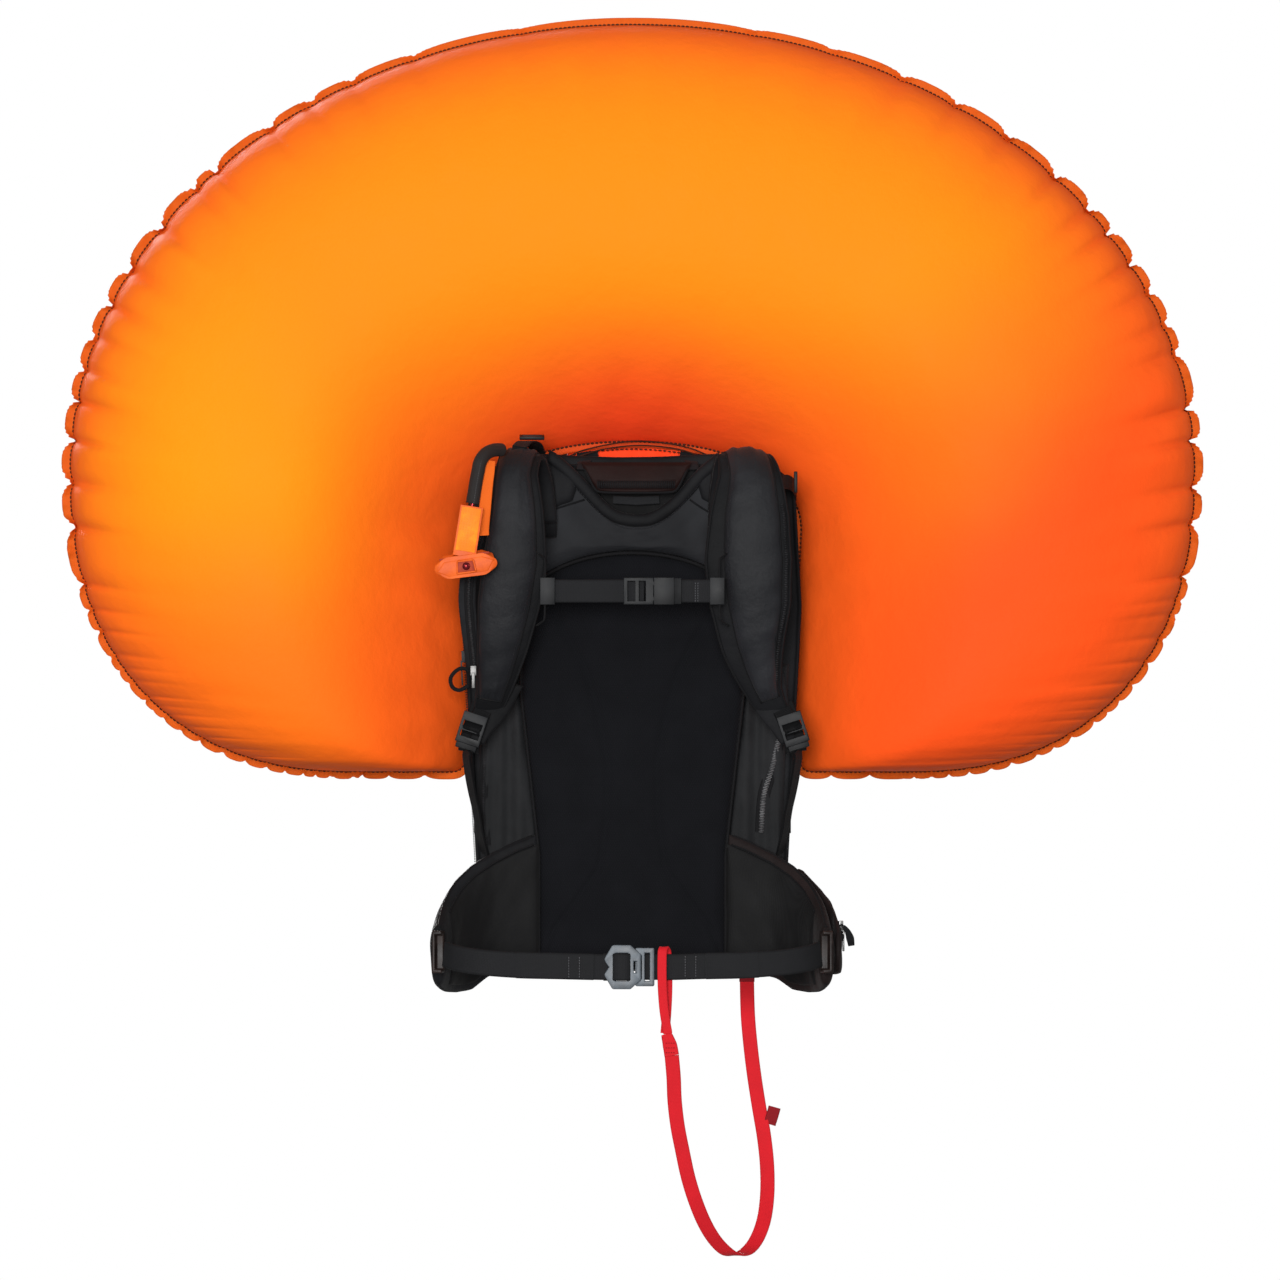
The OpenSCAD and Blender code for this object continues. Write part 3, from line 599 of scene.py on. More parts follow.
def moulded(name, dark, light, rough=0.42, grain=0.06, metal=0.0, spec=0.5):
    """Injection-moulded or cast part: fine spark texture and handling marks, lighter and rougher in random
    patches.
    """
    k = Nodes(name)
    c = k.coord()
    fine = k.noise(c, 1500.0, 2.0)
    marks = k.noise(c, 60.0, 4.0, 0.65)
    tone = k.ramp(marks, 0.35, 0.72)
    col = k.mix(k.mad(fine, 0.15, k.mul(tone, 0.85)), dark, light)
    r = k.mad(marks, 0.22, rough - 0.11)
    return k.done(col, r, k.bump(fine, grain * MM, 0.6), Metallic=metal, Specular_IOR_Level=spec)


def brushed(name, dark, light):
    """Drawn or brushed metal: fine scratches along Z."""
    k = Nodes(name)
    c = k.coord()
    mp = k.n("Mapping")
    mp.inputs["Scale"].default_value = (1400.0, 1400.0, 40.0)
    k.link(c, mp.inputs["Vector"])
    lines = k.noise(mp.outputs[0], 1.0, 2.0)
    marks = k.noise(c, 80.0, 3.0)
    col = k.mix(k.mad(lines, 0.4, k.mul(marks, 0.5)), dark, light)
    return k.done(col, k.mad(lines, 0.2, 0.22), k.bump(lines, 0.03 * MM, 0.6), Metallic=1.0)


SEAM_Y = 97.0


# the middle of the painted shade at the notch's crown
NOTCH_CROWN = (0.0, 0.097, 0.27)  # in metres


def nylon(name, deep, mid, lit_colour, crown=(0.88, 0.046, 0.013)):
    """Coated airbag cloth: a ripstop weave whose lighter yarn crossings are a painted sheen, soft creases,
    and painted light and shade: the lit colour on the upper left, the shaded mid colour to the right, below
    and beside the pack, the deep colour where the cloth turns away towards its seam, and the crown colour as
    painted shade at the notch's crown.
    """
    k = Nodes(name)
    c = k.coord()
    x, y, z = k.split(c)
    over = k.mul(k.wave(x, 0.8 * MM), k.wave(z, 0.8 * MM))
    big = k.noise(c, 3.2, 3.0, 0.5)
    crease = k.noise(c, 17.0, 5.0, 0.62)
    fine = k.noise(c, 60.0, 3.0, 0.5)
    # painted shade at the notch's crown: the crown colour there, fading out with distance from it
    d = k.n("VectorMath", operation="DISTANCE")
    k.link(c, d.inputs[0])
    d.inputs[1].default_value = NOTCH_CROWN
    crown_shade_fade = k.ramp(k.mad(big, 0.04, d.outputs["Value"]), 0.02, 0.25)
    # painted light from the upper left: the upper left takes the lit colour, the right and lower parts the
    # shaded mid colour
    side = k.ramp(k.mad(big, 0.2, k.mad(z, -0.9, x)), -0.05, 0.40)
    base = k.mix(side, lit_colour, mid)
    # painted light: all but the lower left lobe is shaded a little towards mid
    base = k.mix(k.mul(k.ramp(k.mad(z, 0.5, x), -0.36, -0.08), 0.2), base, mid)
    # painted shade: redder towards the bottom
    base = k.mix(k.mul(k.ramp(k.mad(big, 0.08, z), 0.30, 0.06), 0.6), base, mid)
    # painted shade beside the pack, low down, where the pack keeps light off the cloth
    near = k.mul(k.ramp(k.math("ABSOLUTE", x), 0.37, 0.19), k.ramp(z, 0.46, 0.22))
    base = k.mix(k.mul(near, 0.62), base, mid)
    # painted shade where the cloth turns away towards its seam, round the rim and the notch: the deep colour
    full = k.math("ABSOLUTE", k.add(y, -SEAM_Y * MM))
    full = k.ramp(k.mad(crease, 0.02, full), 0.014, 0.160)
    base = k.mix(crown_shade_fade, crown, k.mix(full, deep, base))
    col = k.mix(k.mul(over, 0.10), base, (min(1, lit_colour[0] * 1.02), lit_colour[1] * 1.5, lit_colour[2] * 2))
    nrm = k.bump(over, 0.05 * MM, 0.4, k.bump(fine, 0.0012, 0.35, k.bump(crease, 0.006, 0.35)))
    r = k.mad(crease, 0.2, 0.5)
    return k.done(col, r, nrm, Specular_IOR_Level=0.04)


PACK = cloth("pack_cloth", (0.0029, 0.0031, 0.0036), (0.0115, 0.0119, 0.0138), crease=0.55)
SIDE = cloth("side_cloth", (0.0053, 0.0056, 0.0062), (0.0173, 0.0177, 0.0193), crease=0.6, scale=18.0)
YOKE = cloth("yoke_cloth", (0.0069, 0.0071, 0.0083), (0.0211, 0.0220, 0.0250), yarn=1.0, crease=0.4,
             scale=14.0)
STRAP = cloth("strap_cloth", (0.0051, 0.0054, 0.0066), (0.0196, 0.0201, 0.0235), yarn=0.8, crease=0.55,
              scale=22.0, rough=0.5, sheen=0.03, spec=0.12)
LINER = cloth("liner_cloth", (0.00252, 0.0026, 0.00302), (0.00924, 0.00945, 0.01092), crease=0.4)
# near-black cloth that is painted shade in the bag's open mouth
MOUTH_SHADE = cloth("mouth_painted_shade", (0.0006, 0.0006, 0.0007), (0.003, 0.003, 0.0035), crease=0.3)
KNIT = knit("back_knit", (0.0017, 0.0018, 0.0023), (0.0070, 0.0073, 0.0092))
WINGIN = cloth("wing_lining", (0.0030, 0.0030, 0.0032), (0.0100, 0.0100, 0.0106), yarn=1.3, crease=0.3,
               depth=0.2)
POCKET = cloth("pocket_cloth", (0.0054, 0.0036, 0.0036), (0.0216, 0.0144, 0.01395), crease=0.6, scale=30.0)
HANDLE = cloth("handle_cloth", (0.0052, 0.0017, 0.0014), (0.0165, 0.0050, 0.0042), crease=0.35, rough=0.6)
BINDING = webbing("binding_tape", (0.00216, 0.00216, 0.00252), (0.00792, 0.00792, 0.009), pitch=1.2, yarn=1.0)
WEB = webbing("black_webbing", (0.0033, 0.0034, 0.0038), (0.0155, 0.0158, 0.0176))
WEBDARK = webbing("dark_webbing", (0.0009, 0.0009, 0.0011), (0.0042, 0.0043, 0.0050))
WEBFINE = webbing("fine_webbing", (0.0017, 0.0018, 0.0022), (0.0082, 0.0087, 0.0100), pitch=1.2, yarn=0.9)
RED = webbing("red_webbing", (0.33, 0.006, 0.010), (0.68, 0.013, 0.022), pitch=1.5, yarn=1.1, sheen=0.03,
              spec=0.1)
# a darker copy of the red webbing: painted shade on the leg loop's tag, rear anchor and bartacks
RED_SHADED = webbing("red_webbing_shaded", (0.09, 0.002, 0.004), (0.26, 0.007, 0.012), pitch=1.5, yarn=1.1,
                  spec=0.12)
ORANGEWEB = webbing("orange_lining", (0.60, 0.085, 0.008), (0.80, 0.15, 0.015), pitch=1.2, yarn=1.0)
PLASTIC = moulded("buckle_plastic", (0.0026, 0.0028, 0.0033), (0.0088, 0.0095, 0.011), rough=0.45, spec=0.12)
KEEPER = moulded("keeper_plastic", (0.007, 0.0045, 0.004), (0.026, 0.017, 0.015), rough=0.42, spec=0.15)
STEELBLUE = moulded("buckle_metal", (0.016, 0.021, 0.027), (0.052, 0.070, 0.088), rough=0.45, metal=0.15,
                    grain=0.04)
BRIGHT = moulded("zip_metal", (0.2, 0.2, 0.2), (0.55, 0.55, 0.54), rough=0.3, metal=0.9, grain=0.02)
TEETH = moulded("zip_teeth", (0.006, 0.006, 0.0066), (0.022, 0.022, 0.024), rough=0.45, spec=0.12)
TEETHDIM = moulded("zip_teeth_dim", (0.010, 0.010, 0.011), (0.036, 0.036, 0.038), rough=0.45, spec=0.2)
PULLER = moulded("pull_metal", (0.035, 0.034, 0.032), (0.17, 0.165, 0.16), rough=0.4, metal=0.25, grain=0.03)
TEETHGREY = moulded("zip_teeth_grey", (0.05, 0.05, 0.052), (0.14, 0.14, 0.145), rough=0.45, spec=0.3)
TRIGGER = moulded("trigger_orange", (0.54, 0.075, 0.007), (0.70, 0.118, 0.013), rough=0.5, grain=0.05,
                  spec=0.16)
TRIGGERIN = moulded("trigger_inlay", (0.66, 0.16, 0.006), (0.80, 0.25, 0.010), rough=0.55, grain=0.08,
                    spec=0.14)
# darker red of the trigger's orange: painted shade on the floors of its recesses
RECESS_SHADE = moulded("trigger_recess", (0.20, 0.018, 0.006), (0.42, 0.045, 0.012), rough=0.6, grain=0.05, spec=0.2)
SCREW = moulded("trigger_screw", (0.1, 0.006, 0.008), (0.36, 0.03, 0.035), rough=0.25, metal=0.8)
# airbag colours as painted light: deep is painted shade where the cloth turns away, mid the shaded side,
# bright the lit side
BAG = nylon("airbag_cloth", (0.92, 0.108, 0.013), (0.77, 0.062, 0.009), (0.78, 0.232, 0.004))
# a darker copy of the airbag cloth: painted shade on the gathered seam allowance
TRIM = nylon("airbag_trim", (0.52, 0.082, 0.008), (0.50, 0.052, 0.008), (0.56, 0.105, 0.005),
             crown=(0.5, 0.045, 0.01))
THREAD = webbing("dark_thread", (0.02, 0.006, 0.003), (0.06, 0.016, 0.008), pitch=0.8, yarn=0.5)
THREADGREY = webbing("grey_thread", (0.05, 0.05, 0.055), (0.13, 0.13, 0.14), pitch=0.8, yarn=0.5)
THREADBLACK = webbing("black_thread", (0.004, 0.004, 0.005), (0.02, 0.02, 0.024), pitch=0.8, yarn=0.5)
SHEATH = webbing("sheath_braid", (0.006, 0.0055, 0.0055), (0.03, 0.026, 0.025), pitch=2.2, yarn=1.6,
                 depth=0.4)

# ------------------------------------------------------------------ the airbag
HALF_THICK = 150
NOTCH_W, NOTCH_Z = 178, 190  # the notch's half width, and the height where its crown begins
RIM_W, RIM_Z = 590, 252  # the same for the rim


def power(x, e):
    return np.sign(x) * np.abs(x) ** e


def notch_edge(a):
    """x and z of the notch's edge; a runs from -2 (left foot) through 0 (crown) to 2 (right foot)."""
    a = np.asarray(a, float)
    s, m = np.sign(a), np.abs(a)
    q = np.radians(90 * np.clip(m, 0, 1))
    b = np.radians(90 * np.clip(m - 1, 0, 1))
    cb = np.maximum(np.cos(b), 0)
    x1, z1 = NOTCH_W * power(np.sin(q), 0.92), NOTCH_Z + 94 * power(np.maximum(np.cos(q), 0), 0.92)
    x2 = NOTCH_W - 14 * power(np.sin(b), 0.7) + 40 * (1 - cb ** 0.3)
    z2 = NOTCH_Z - 253 * power(np.sin(b), 0.7)
    return s * np.where(m <= 1, x1, x2), np.where(m <= 1, z1, z2)


def rim_edge(a):
    """x and z of the rim for the same a as notch_edge."""
    a = np.asarray(a, float)
    s, m = np.sign(a), np.abs(a)
    q = np.radians(90 * np.clip(m, 0, 1))
    b = np.radians(90 * np.clip(m - 1, 0, 1))
    cb = np.maximum(np.cos(b), 0)
    x1, z1 = RIM_W * np.sin(q), RIM_Z + 469 * np.cos(q)
    x2, z2 = 290 + 300 * cb ** 0.87, RIM_Z - 315 * np.sin(b) ** 0.87
    return s * np.where(m <= 1, x1, x2), np.where(m <= 1, z1, z2)


def outline(n):
    """The airbag's whole seam as even points and outward directions, from the left foot over the rim."""
    a = np.linspace(-2, 2, 3000)
    rx, rz = rim_edge(a)
    nx, nz = notch_edge(a[::-1])
    p = np.stack([np.concatenate([rx, nx]), np.concatenate([rz, nz])], 1)
    p = np.concatenate([p, p[:1]])
    q = respace(p, lengths(p)[-1] / n)[0][:-1]
    t = unit_rows(np.roll(q, -3, 0) - np.roll(q, 3, 0))
    return q, np.stack([-t[:, 1], t[:, 0]], 1)


def tuck_list(seed):
    """Places of the tucks along the rim, each way from its crown: few at the top, close at the sides."""
    draw = np.random.default_rng(seed)
    out = [[], []]
    for k in (0, 1):
        s = 20.0
        while s < 1750:
            lo, hi = (60, 120) if s < 210 else (38, 80) if s < 430 else (24, 64) if s < 930 else (13, 30)
            s += draw.uniform(lo, hi)
            out[k].append(s)
    return np.array(sorted([-v for v in out[0]] + out[1]))


TUCKS = tuck_list(7)


def scallop(s):
    """Bulge between two tucks, 0 to 1, and how deep the tucks round it are in mm."""
    i = np.clip(np.searchsorted(TUCKS, s) - 1, 0, len(TUCKS) - 2)
    gap = TUCKS[i + 1] - TUCKS[i]
    u = np.clip((s - TUCKS[i]) / gap, 0, 1)
    bulge = np.maximum(0, 1 - np.abs(2 * u - 1) ** 3.2) ** 0.8
    a = np.abs(s)
    share = np.interp(a, [0, 200, 420, 520, 900, 1000, 1350, 1800], [0.1, 0.22, 0.6, 1, 1, 0.65, 0.55, 0.5])
    return bulge, np.minimum(12.0, 0.26 * gap) * share


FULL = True
ROWS, COLS = (760, 60) if FULL else (380, 36)
al = np.linspace(-2, 2, ROWS + 1)
# closer rows at the feet, where the outline turns sharply
al = 2 * np.sin(np.pi / 2 * np.clip(al / 2, -1, 1)) * 0.25 + al * 0.75
ac = 0.5 - 0.5 * np.cos(np.pi * np.linspace(0, 1, COLS + 1))
NX, NZ = notch_edge(al)
RX, RZ = rim_edge(al)
SPAN = np.hypot(RX - NX, RZ - NZ)
RIM_S = lengths(np.stack([RX, RZ], 1))
RIM_S = RIM_S - RIM_S[ROWS // 2]
NOTCH_S = lengths(np.stack([NX, NZ], 1))
A, C = np.meshgrid(al, ac, indexing="ij")
END = 1 - np.maximum(0, (np.abs(A) - 1.15) / 0.85)
Q = 2 * C - 1
SECTION = np.where(Q < 0, np.maximum(0, np.cos(np.pi / 2 * Q)) ** 0.8,
                   np.sqrt(np.maximum(0, 1 - np.abs(Q) ** 2.2)))
FULLNESS = SECTION * np.sqrt(np.maximum(0, 1 - (1 - END) ** 2.6))
SIDES = np.clip(1.25 - 0.9 * np.cos(np.radians(90 * np.clip(A, -1, 1))) ** 3, 0.3, 1.25)


def airbag_side(front):
    sgn = -1 if front else 1
    seed = 11 if front else 31
    rim_d = (1 - C) * SPAN[:, None]
    notch_d = C * SPAN[:, None]
    bulge, deep = (np.broadcast_to(v[:, None], C.shape) for v in scallop(RIM_S))
    slow = np.broadcast_to(waves(RIM_S, seed + 1, 55, 170)[:, None], C.shape)
    long = np.broadcast_to(waves(RIM_S, seed + 2, 30, 90)[:, None], C.shape)
    pucker = np.broadcast_to(waves(NOTCH_S, seed + 3, 26, 80)[:, None], C.shape)
    swell = (bulge - 0.7) * deep * 1.15 * np.exp(-((rim_d - 10) / 20) ** 2)
    swell = swell + (bulge - 0.7) * deep * 0.35 * np.exp(-((rim_d - 30) / 30) ** 2)
    swell = swell + slow * 3.2 * np.exp(-((rim_d - 26) / 34) ** 2) * SIDES
    swell = swell + long * 1.3 * np.exp(-((rim_d - 60) / 60) ** 2)
    swell = swell + pucker * 2.6 * np.exp(-((notch_d - 30) / 45) ** 2)
    body = waves(A * 300 + C * 160, seed + 4, 160, 420) * 2.6 * np.sin(np.pi * C)
    y = SEAM_Y + sgn * (HALF_THICK * FULLNESS * 0.985 + (swell + body) * np.clip(FULLNESS * 3, 0, 1))
    x = NX[:, None] + (RX - NX)[:, None] * C
    z = NZ[:, None] + (RZ - NZ)[:, None] * C
    # puffs pull the edge in and out between tucks
    pull = (bulge - 1) * deep * 0.42 * np.exp(-rim_d / 24)
    ux, uz = (RX - NX) / SPAN, (RZ - NZ) / SPAN
    x = x + ux[:, None] * pull
    z = z + uz[:, None] * pull
    return np.stack([x, y, z], 2).reshape(-1, 3)


def grid_faces(n, m, base, flip):
    i, j = np.meshgrid(np.arange(n - 1), np.arange(m - 1), indexing="ij")
    a = (base + i * m + j).ravel()
    q = np.stack([a, a + m, a + m + 1, a + 1], 1)
    if flip:
        q = q[:, ::-1]
    return [tuple(int(v) for v in r) for r in q]


n_side = (ROWS + 1) * (COLS + 1)
bag_v = np.concatenate([airbag_side(True), airbag_side(False)])
bag_f = grid_faces(ROWS + 1, COLS + 1, 0, False) + grid_faces(ROWS + 1, COLS + 1, n_side, True)
airbag = make("airbag", bag_v, bag_f, None, BAG, "airbag_fabric")
with editing(airbag.data) as bm:
    bmesh.ops.remove_doubles(bm, verts=bm.verts, dist=WELD * MM)
    face_outwards(bm)
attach(airbag, "pack")
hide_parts("airbag_front_panel", "airbag_rear_panel")

# the gathered seam allowance: two layers of cloth that stand out round the outline
SEAM_P, SEAM_N = outline(1800 if FULL else 900)
seam_s = lengths(np.concatenate([SEAM_P, SEAM_P[:1]]))[:-1]
rim_line = np.stack([RX, RZ], 1)
reach_d = np.linalg.norm(SEAM_P[:, None] - rim_line[None], axis=2)
near = reach_d.argmin(1)
on_rim = reach_d.min(1) < 4.0
bulges, deeps = scallop(np.where(on_rim, RIM_S[near], 1000 + (seam_s * 0.6) % 700))
near_neck = (np.abs(SEAM_P[:, 0]) < 182) & (SEAM_P[:, 1] > -40) & (SEAM_P[:, 1] < 300)
deeps = np.where(near_neck, 0.3, deeps)
ripple = waves(seam_s, 52, 14, 34)
tuck_in = (bulges - 1) * deeps * 0.42
sv, sl = [], []
prof = [(-2.5, 0.0), (0.5, 0.1), (3.0, 0.45), (5.5, 0.8), (7.6, 1.0)]
for i in range(len(SEAM_P)):
    p, o = SEAM_P[i], SEAM_N[i]
    wide = 0.55 + 0.1 * (9 - deeps[i]) / 2 if near_neck[i] else 1.0 + (bulges[i] - 0.75) * deeps[i] * 0.11
    for side in (-1, 1):
        order = prof if side < 0 else prof[::-1]
        for d, k in order:
            dd = d * wide if d > 0 else d
            y = SEAM_Y + (ripple[i] * min(4.0, 0.6 + deeps[i] * 0.5) - 1.5 * deeps[i]
                          * (1 - bulges[i])) * k + side * 0.55
            sv.append((p[0] + o[0] * (dd + tuck_in[i]), y, p[1] + o[1] * (dd + tuck_in[i])))
            sl.append((d * MM, seam_s[i] * MM, k))
sf = ring_quads(len(SEAM_P), 2 * len(prof), closed=True)
# the seam allowance takes the darker trim cloth: painted shade
seam = make("airbag_gathered_seam", sv, sf, "pack", TRIM, "airbag_trim", sl)
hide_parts("airbag_seam")
loop = np.concatenate([SEAM_P, SEAM_P[:1]])
loop_n = np.concatenate([SEAM_N, SEAM_N[:1]])
lines = []
for dy in (-1.0, 1.0):
    off = 0.6 + np.append(tuck_in, tuck_in[0])
    pts = np.stack([loop[:, 0] + loop_n[:, 0] * off, SEAM_Y + dy + 0 * loop[:, 0], loop[:, 1] + loop_n[:, 1]
                    * off], 1)
    lines.append((pts, (0, dy, 0)))
stitches("airbag_seam_thread", lines, "pack", THREAD, None, pitch=4.6, gap=0.8, r=1.15, lift=0.7)

# throat from the blower, pinched and gathered where it is sewn to the notch's crown
tv, tl = [], []
for k in range(15):
    h = k / 14
    z = 206 + 78 * h
    for j in range(120):
        a = 2 * math.pi * j / 120
        c, s = math.cos(a), math.sin(a)
        r = (abs(c) ** 5 + abs(s) ** 5) ** (-1 / 5)
        x, y = 70 * r * c, 35 * r * s
        w = math.sin(x / 4.4) * 1.3 * h + math.sin(x / 9 + 2) * 1.4 * math.sin(math.pi * h)
        y = 127 + y * (1 - 0.2 * h) + (w if abs(s) > 0.4 else 0)
        rise = 0.55 * h * h * min(60, max(0, y - 97))
        tv.append((x * (1 - 0.02 * h), y, z + rise - 0.0009 * x * x * h))
        tl.append((x * MM, z * MM, 0))
throat = make("airbag_throat", tv, ring_quads(15, 120), None, BAG, "airbag_fabric", tl)


def thicken(ob, mm):
    """Gives an open sheet its thickness, inwards, as a finished mesh."""
    mod = ob.modifiers.new("thick", "SOLIDIFY")
    mod.thickness = mm * MM
    mod.offset = -1.0
    mod.use_even_offset = False
    settle(ob)


def settle(ob):
    """Turns what an object's modifiers give into its mesh."""
    bpy.context.view_layer.update()
    dg = bpy.context.evaluated_depsgraph_get()
    me = bpy.data.meshes.new_from_object(ob.evaluated_get(dg), preserve_all_data_layers=True, depsgraph=dg)
    old = ob.data
    ob.modifiers.clear()
    ob.data = me
    bpy.data.meshes.remove(old)


thicken(throat, 1.2)
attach(throat, "pack")
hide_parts("airbag_neck")
arc_x = np.linspace(-82, 84, 60)
hem = np.stack([arc_x, 88 + 0 * arc_x, 275.5 - 0.0016 * arc_x ** 2], 1)
stitches("throat_hem_thread", [(hem + [0, 3, 0], (0, -1, 0)), (hem + [0, 3, -9], (0, -1, 0))], "pack", THREAD,
         None, pitch=5.0, gap=1.2, r=0.8)
for nm, arc in (("upper", [[-73, 264], [-49, 275], [3, 283.8], [55, 278], [89, 264]]),
                ("lower", [[-60, 266.2], [-32, 275], [7, 279.4], [46, 275.8], [68, 269]])):
    cord_mesh("throat_edge_" + nm, curve([[x, 86, z] for x, z in arc], 8), 0.8, "pack", THREAD, "airbag_trim",
              wide=(0, 1, 0))
ribbons("throat_tabs", [([[-58, 90, 268], [-36, 89, 271]], 7, 2, (0, 0, 1)),
                        ([[50, 89, 270], [72, 90, 266]], 7, 2, (0, 0, 1))], "pack", BINDING, "black_webbing",
        step=2.0)

# ------------------------------------------------------------------ the bag


def bag_ring(half_w, top, inset, n=240):
    """The bag's outline at one depth, from the middle of its top, clockwise as the wearer's side sees it."""
    r = 38 - inset
    cs = [(half_w - 12 - 38, -268 + 38), (half_w - 38, top - 38), (half_w + 6 - 38, 110)]
    cs += [(-x, z) for x, z in cs]
    th = np.linspace(0, 2 * np.pi, 1441)[:-1] + np.pi / 2
    d = np.stack([np.cos(th), np.sin(th)], 1)
    c = np.array(cs)
    best = c[np.argmax(d @ c.T, axis=1)]
    p = best + d * r
    p = np.concatenate([p, p[:1]])
    k = np.argmin(np.abs(p[:-1, 0]) + np.where(p[:-1, 1] > 0, 0, 1e4))
    p = np.concatenate([p[k:-1], p[:k + 1]])
    p[:, 0] *= -1
    return respace(p, lengths(p)[-1] / n)[0][:-1][:n]


BAG_FRONT, BAG_DEPTH, BAG_REAR = 17, 212, 229.0


def section(y, inset=0.0, n=240):
    """The bag's outline at depth y: it narrows towards the rear."""
    k = (y - BAG_FRONT) / BAG_DEPTH
    a = bag_ring(170, 258, inset, n)
    b = bag_ring(144, 234, inset, n)
    m = min(len(a), len(b))
    return a[:m] * (1 - k) + b[:m] * k


NR = 240
ys = [17.0, 17.2, 18.2, 20.2, 24, 30, 38, 47, 60, 75, 90, 105, 120, 130, 140, 155, 170, 177, 190, 205, 218,
      226, 228.8]
ins = [7.0, 4.5, 2.0, 0.6, 0, 0, 0, 0, 0, 0, 0, 0, 0, 0, 0, 0, 0, 0, 0, 0, 0.3, 1.4, 3.0]
rings = []
for y, q in zip(ys, ins):
    r = section(y, q, NR)[:NR]
    s = lengths(np.concatenate([r, r[:1]]))[:-1]
    t = unit_rows(np.roll(r, -1, 0) - np.roll(r, 1, 0))
    o = np.stack([t[:, 1], -t[:, 0]], 1)
    o *= np.sign((o * r).sum(1).mean())
    d = (y - BAG_FRONT) / BAG_DEPTH
    bulge = 3.0 * math.sin(math.pi * min(1, d * 1.1))
    lump = waves(s + y * 0.9, 61, 60, 200) * 1.7 + waves(s - y * 1.7, 62, 34, 90) * 0.8
    k = (bulge + lump) * math.sin(math.pi * min(1, max(0, d))) ** 0.4 if 0 < d < 1 else 0
    r = r + o * (np.asarray(k)[..., None] if np.ndim(k) else k)
    rings.append(np.stack([r[:, 0], np.full(len(r), y), r[:, 1]], 1))
bv = np.concatenate(rings)
bf = []
for q in ring_quads(len(ys), NR):
    x, y, z = bv[list(q)].mean(0)
    way_out = z > 200 and abs(x) < 80 and 47 < y < 177  # for the airbag's throat
    intake = x < -120 and 130 < y < 170 and 150 < z < 190
    if not (way_out or intake):
        bf.append(q)
# the harness wall: rings that shrink to the middle, with soft upright folds beside the back panel
inner = rings[0]
steps = 22
centre = np.array([0, BAG_FRONT, -5.0])
prev = np.arange(NR)
extra = []
for i in range(1, steps + 1):
    t = 1 - (i / steps)
    ring = centre + (inner - centre) * t
    x, z = ring[:, 0], ring[:, 2]
    fold = waves(np.abs(x) * 1.0 + z * 0.12 + 50, 63, 13, 40) * 1.3 * np.exp(-((np.abs(x) - 140) / 22) ** 2)
    fold += waves(z * 0.8 + x * 0.5, 64, 30, 90) * 1.0 * np.exp(-((np.abs(x) - 140) / 30) ** 2)
    ring[:, 1] = BAG_FRONT - (1.2 + fold) * min(1, i / 2)
    extra.append(ring)
    ids = len(bv) + (i - 1) * NR + np.arange(NR)
    for j in range(NR):
        k = (j + 1) % NR
        if i < steps:
            bf.append((int(prev[j]), int(ids[j]), int(ids[k]), int(prev[k])))
        else:
            bf.append((int(prev[j]), int(ids[0]), int(prev[k])))
    prev = ids
bv = np.concatenate([bv] + extra)
shell = make("bag_body", bv, bf, None, PACK, "pack_fabric")
with editing(shell.data) as bm:
    bmesh.ops.delete(bm, geom=[v for v in bm.verts if not v.link_faces], context="VERTS")
    face_outwards(bm)
    if sum(f.normal.y * f.calc_area() for f in bm.faces if f.calc_center_median().y < 0.0175) > 0:
        bmesh.ops.reverse_faces(bm, faces=bm.faces)
thicken(shell, 3.0)
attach(shell, "pack")
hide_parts("bag_shell")

# piping round the harness wall and the mouth of the bag
ring0 = section(19.0, 0.2, NR)
ring1 = section(226.0, 0.2, NR)
for nm, rg, y in (("harness", ring0, 18.2), ("mouth", ring1, 226.2)):
    p = np.stack([rg[:, 0], np.full(len(rg), y), rg[:, 1]], 1)
    p = np.concatenate([p, p[:1]])
    piping("bag_piping_" + nm, p, 1.9, step=3.0)

# side panels of rubbed grey cloth beside the back panel
for sx in (-1, 1):
    def mid(u, v, sx=sx):
        z = -250 + v * 300
        x0 = np.where(z < -150, 99, 99 + 19 * (z + 150) / 170)
        x1 = 158 + 12 * np.clip((z + 250) / 300, 0, 1) - 6
        return np.stack([sx * (x0 + (x1 - x0) * u), 14.6 + 0 * u, z], 2)

    def half(u, v):
        e = np.minimum(np.minimum(u, 1 - u) * 14, np.minimum(v, 1 - v) * 60)
        fold = waves(u * 55 + v * 26, 71, 12, 44) * 1.5 + waves(v * 300 + u * 30, 72, 40, 120) * 0.9
        return np.clip(e, 0, 1) ** 0.5 * (3.0 + fold)
    q = quilt("side_cloth_" + LEFT_RIGHT[sx], mid, half, 26, 90, "pack", SIDE, "pack_fabric", back=0.2)

# ------------------------------------------------------------------ yoke and back panel


def arch_top(x, half_w, z, rise):
    return z + rise * np.sqrt(np.maximum(0, 1 - (x / half_w) ** 2))


ARCH = 165  # the arch's top over the back panel
FOOT_Z = -262  # the back panel's foot

NECK_X = [-89, -80, -62, -44, -31, -18, -4, 6, 18, 31, 43, 56, 72, 86, 93]
NECK_Z = [268, 262, 246, 227, 213.5, 204.5, 200.8, 200.2, 201.5, 207.5, 216.5, 229.5, 248, 260, 266]


def yoke_mid(u, v):
    x = u * 147
    lo = np.where(np.abs(x) < 119, arch_top(x, 119, 102, ARCH - 98), 96)
    hi = np.minimum(np.interp(x, NECK_X, NECK_Z), 256 - np.maximum(0, np.abs(x) - 86) / 3.05)
    y = 5.0 + 0 * x
    return np.stack([x, y, lo + (hi - lo) * v], 2)


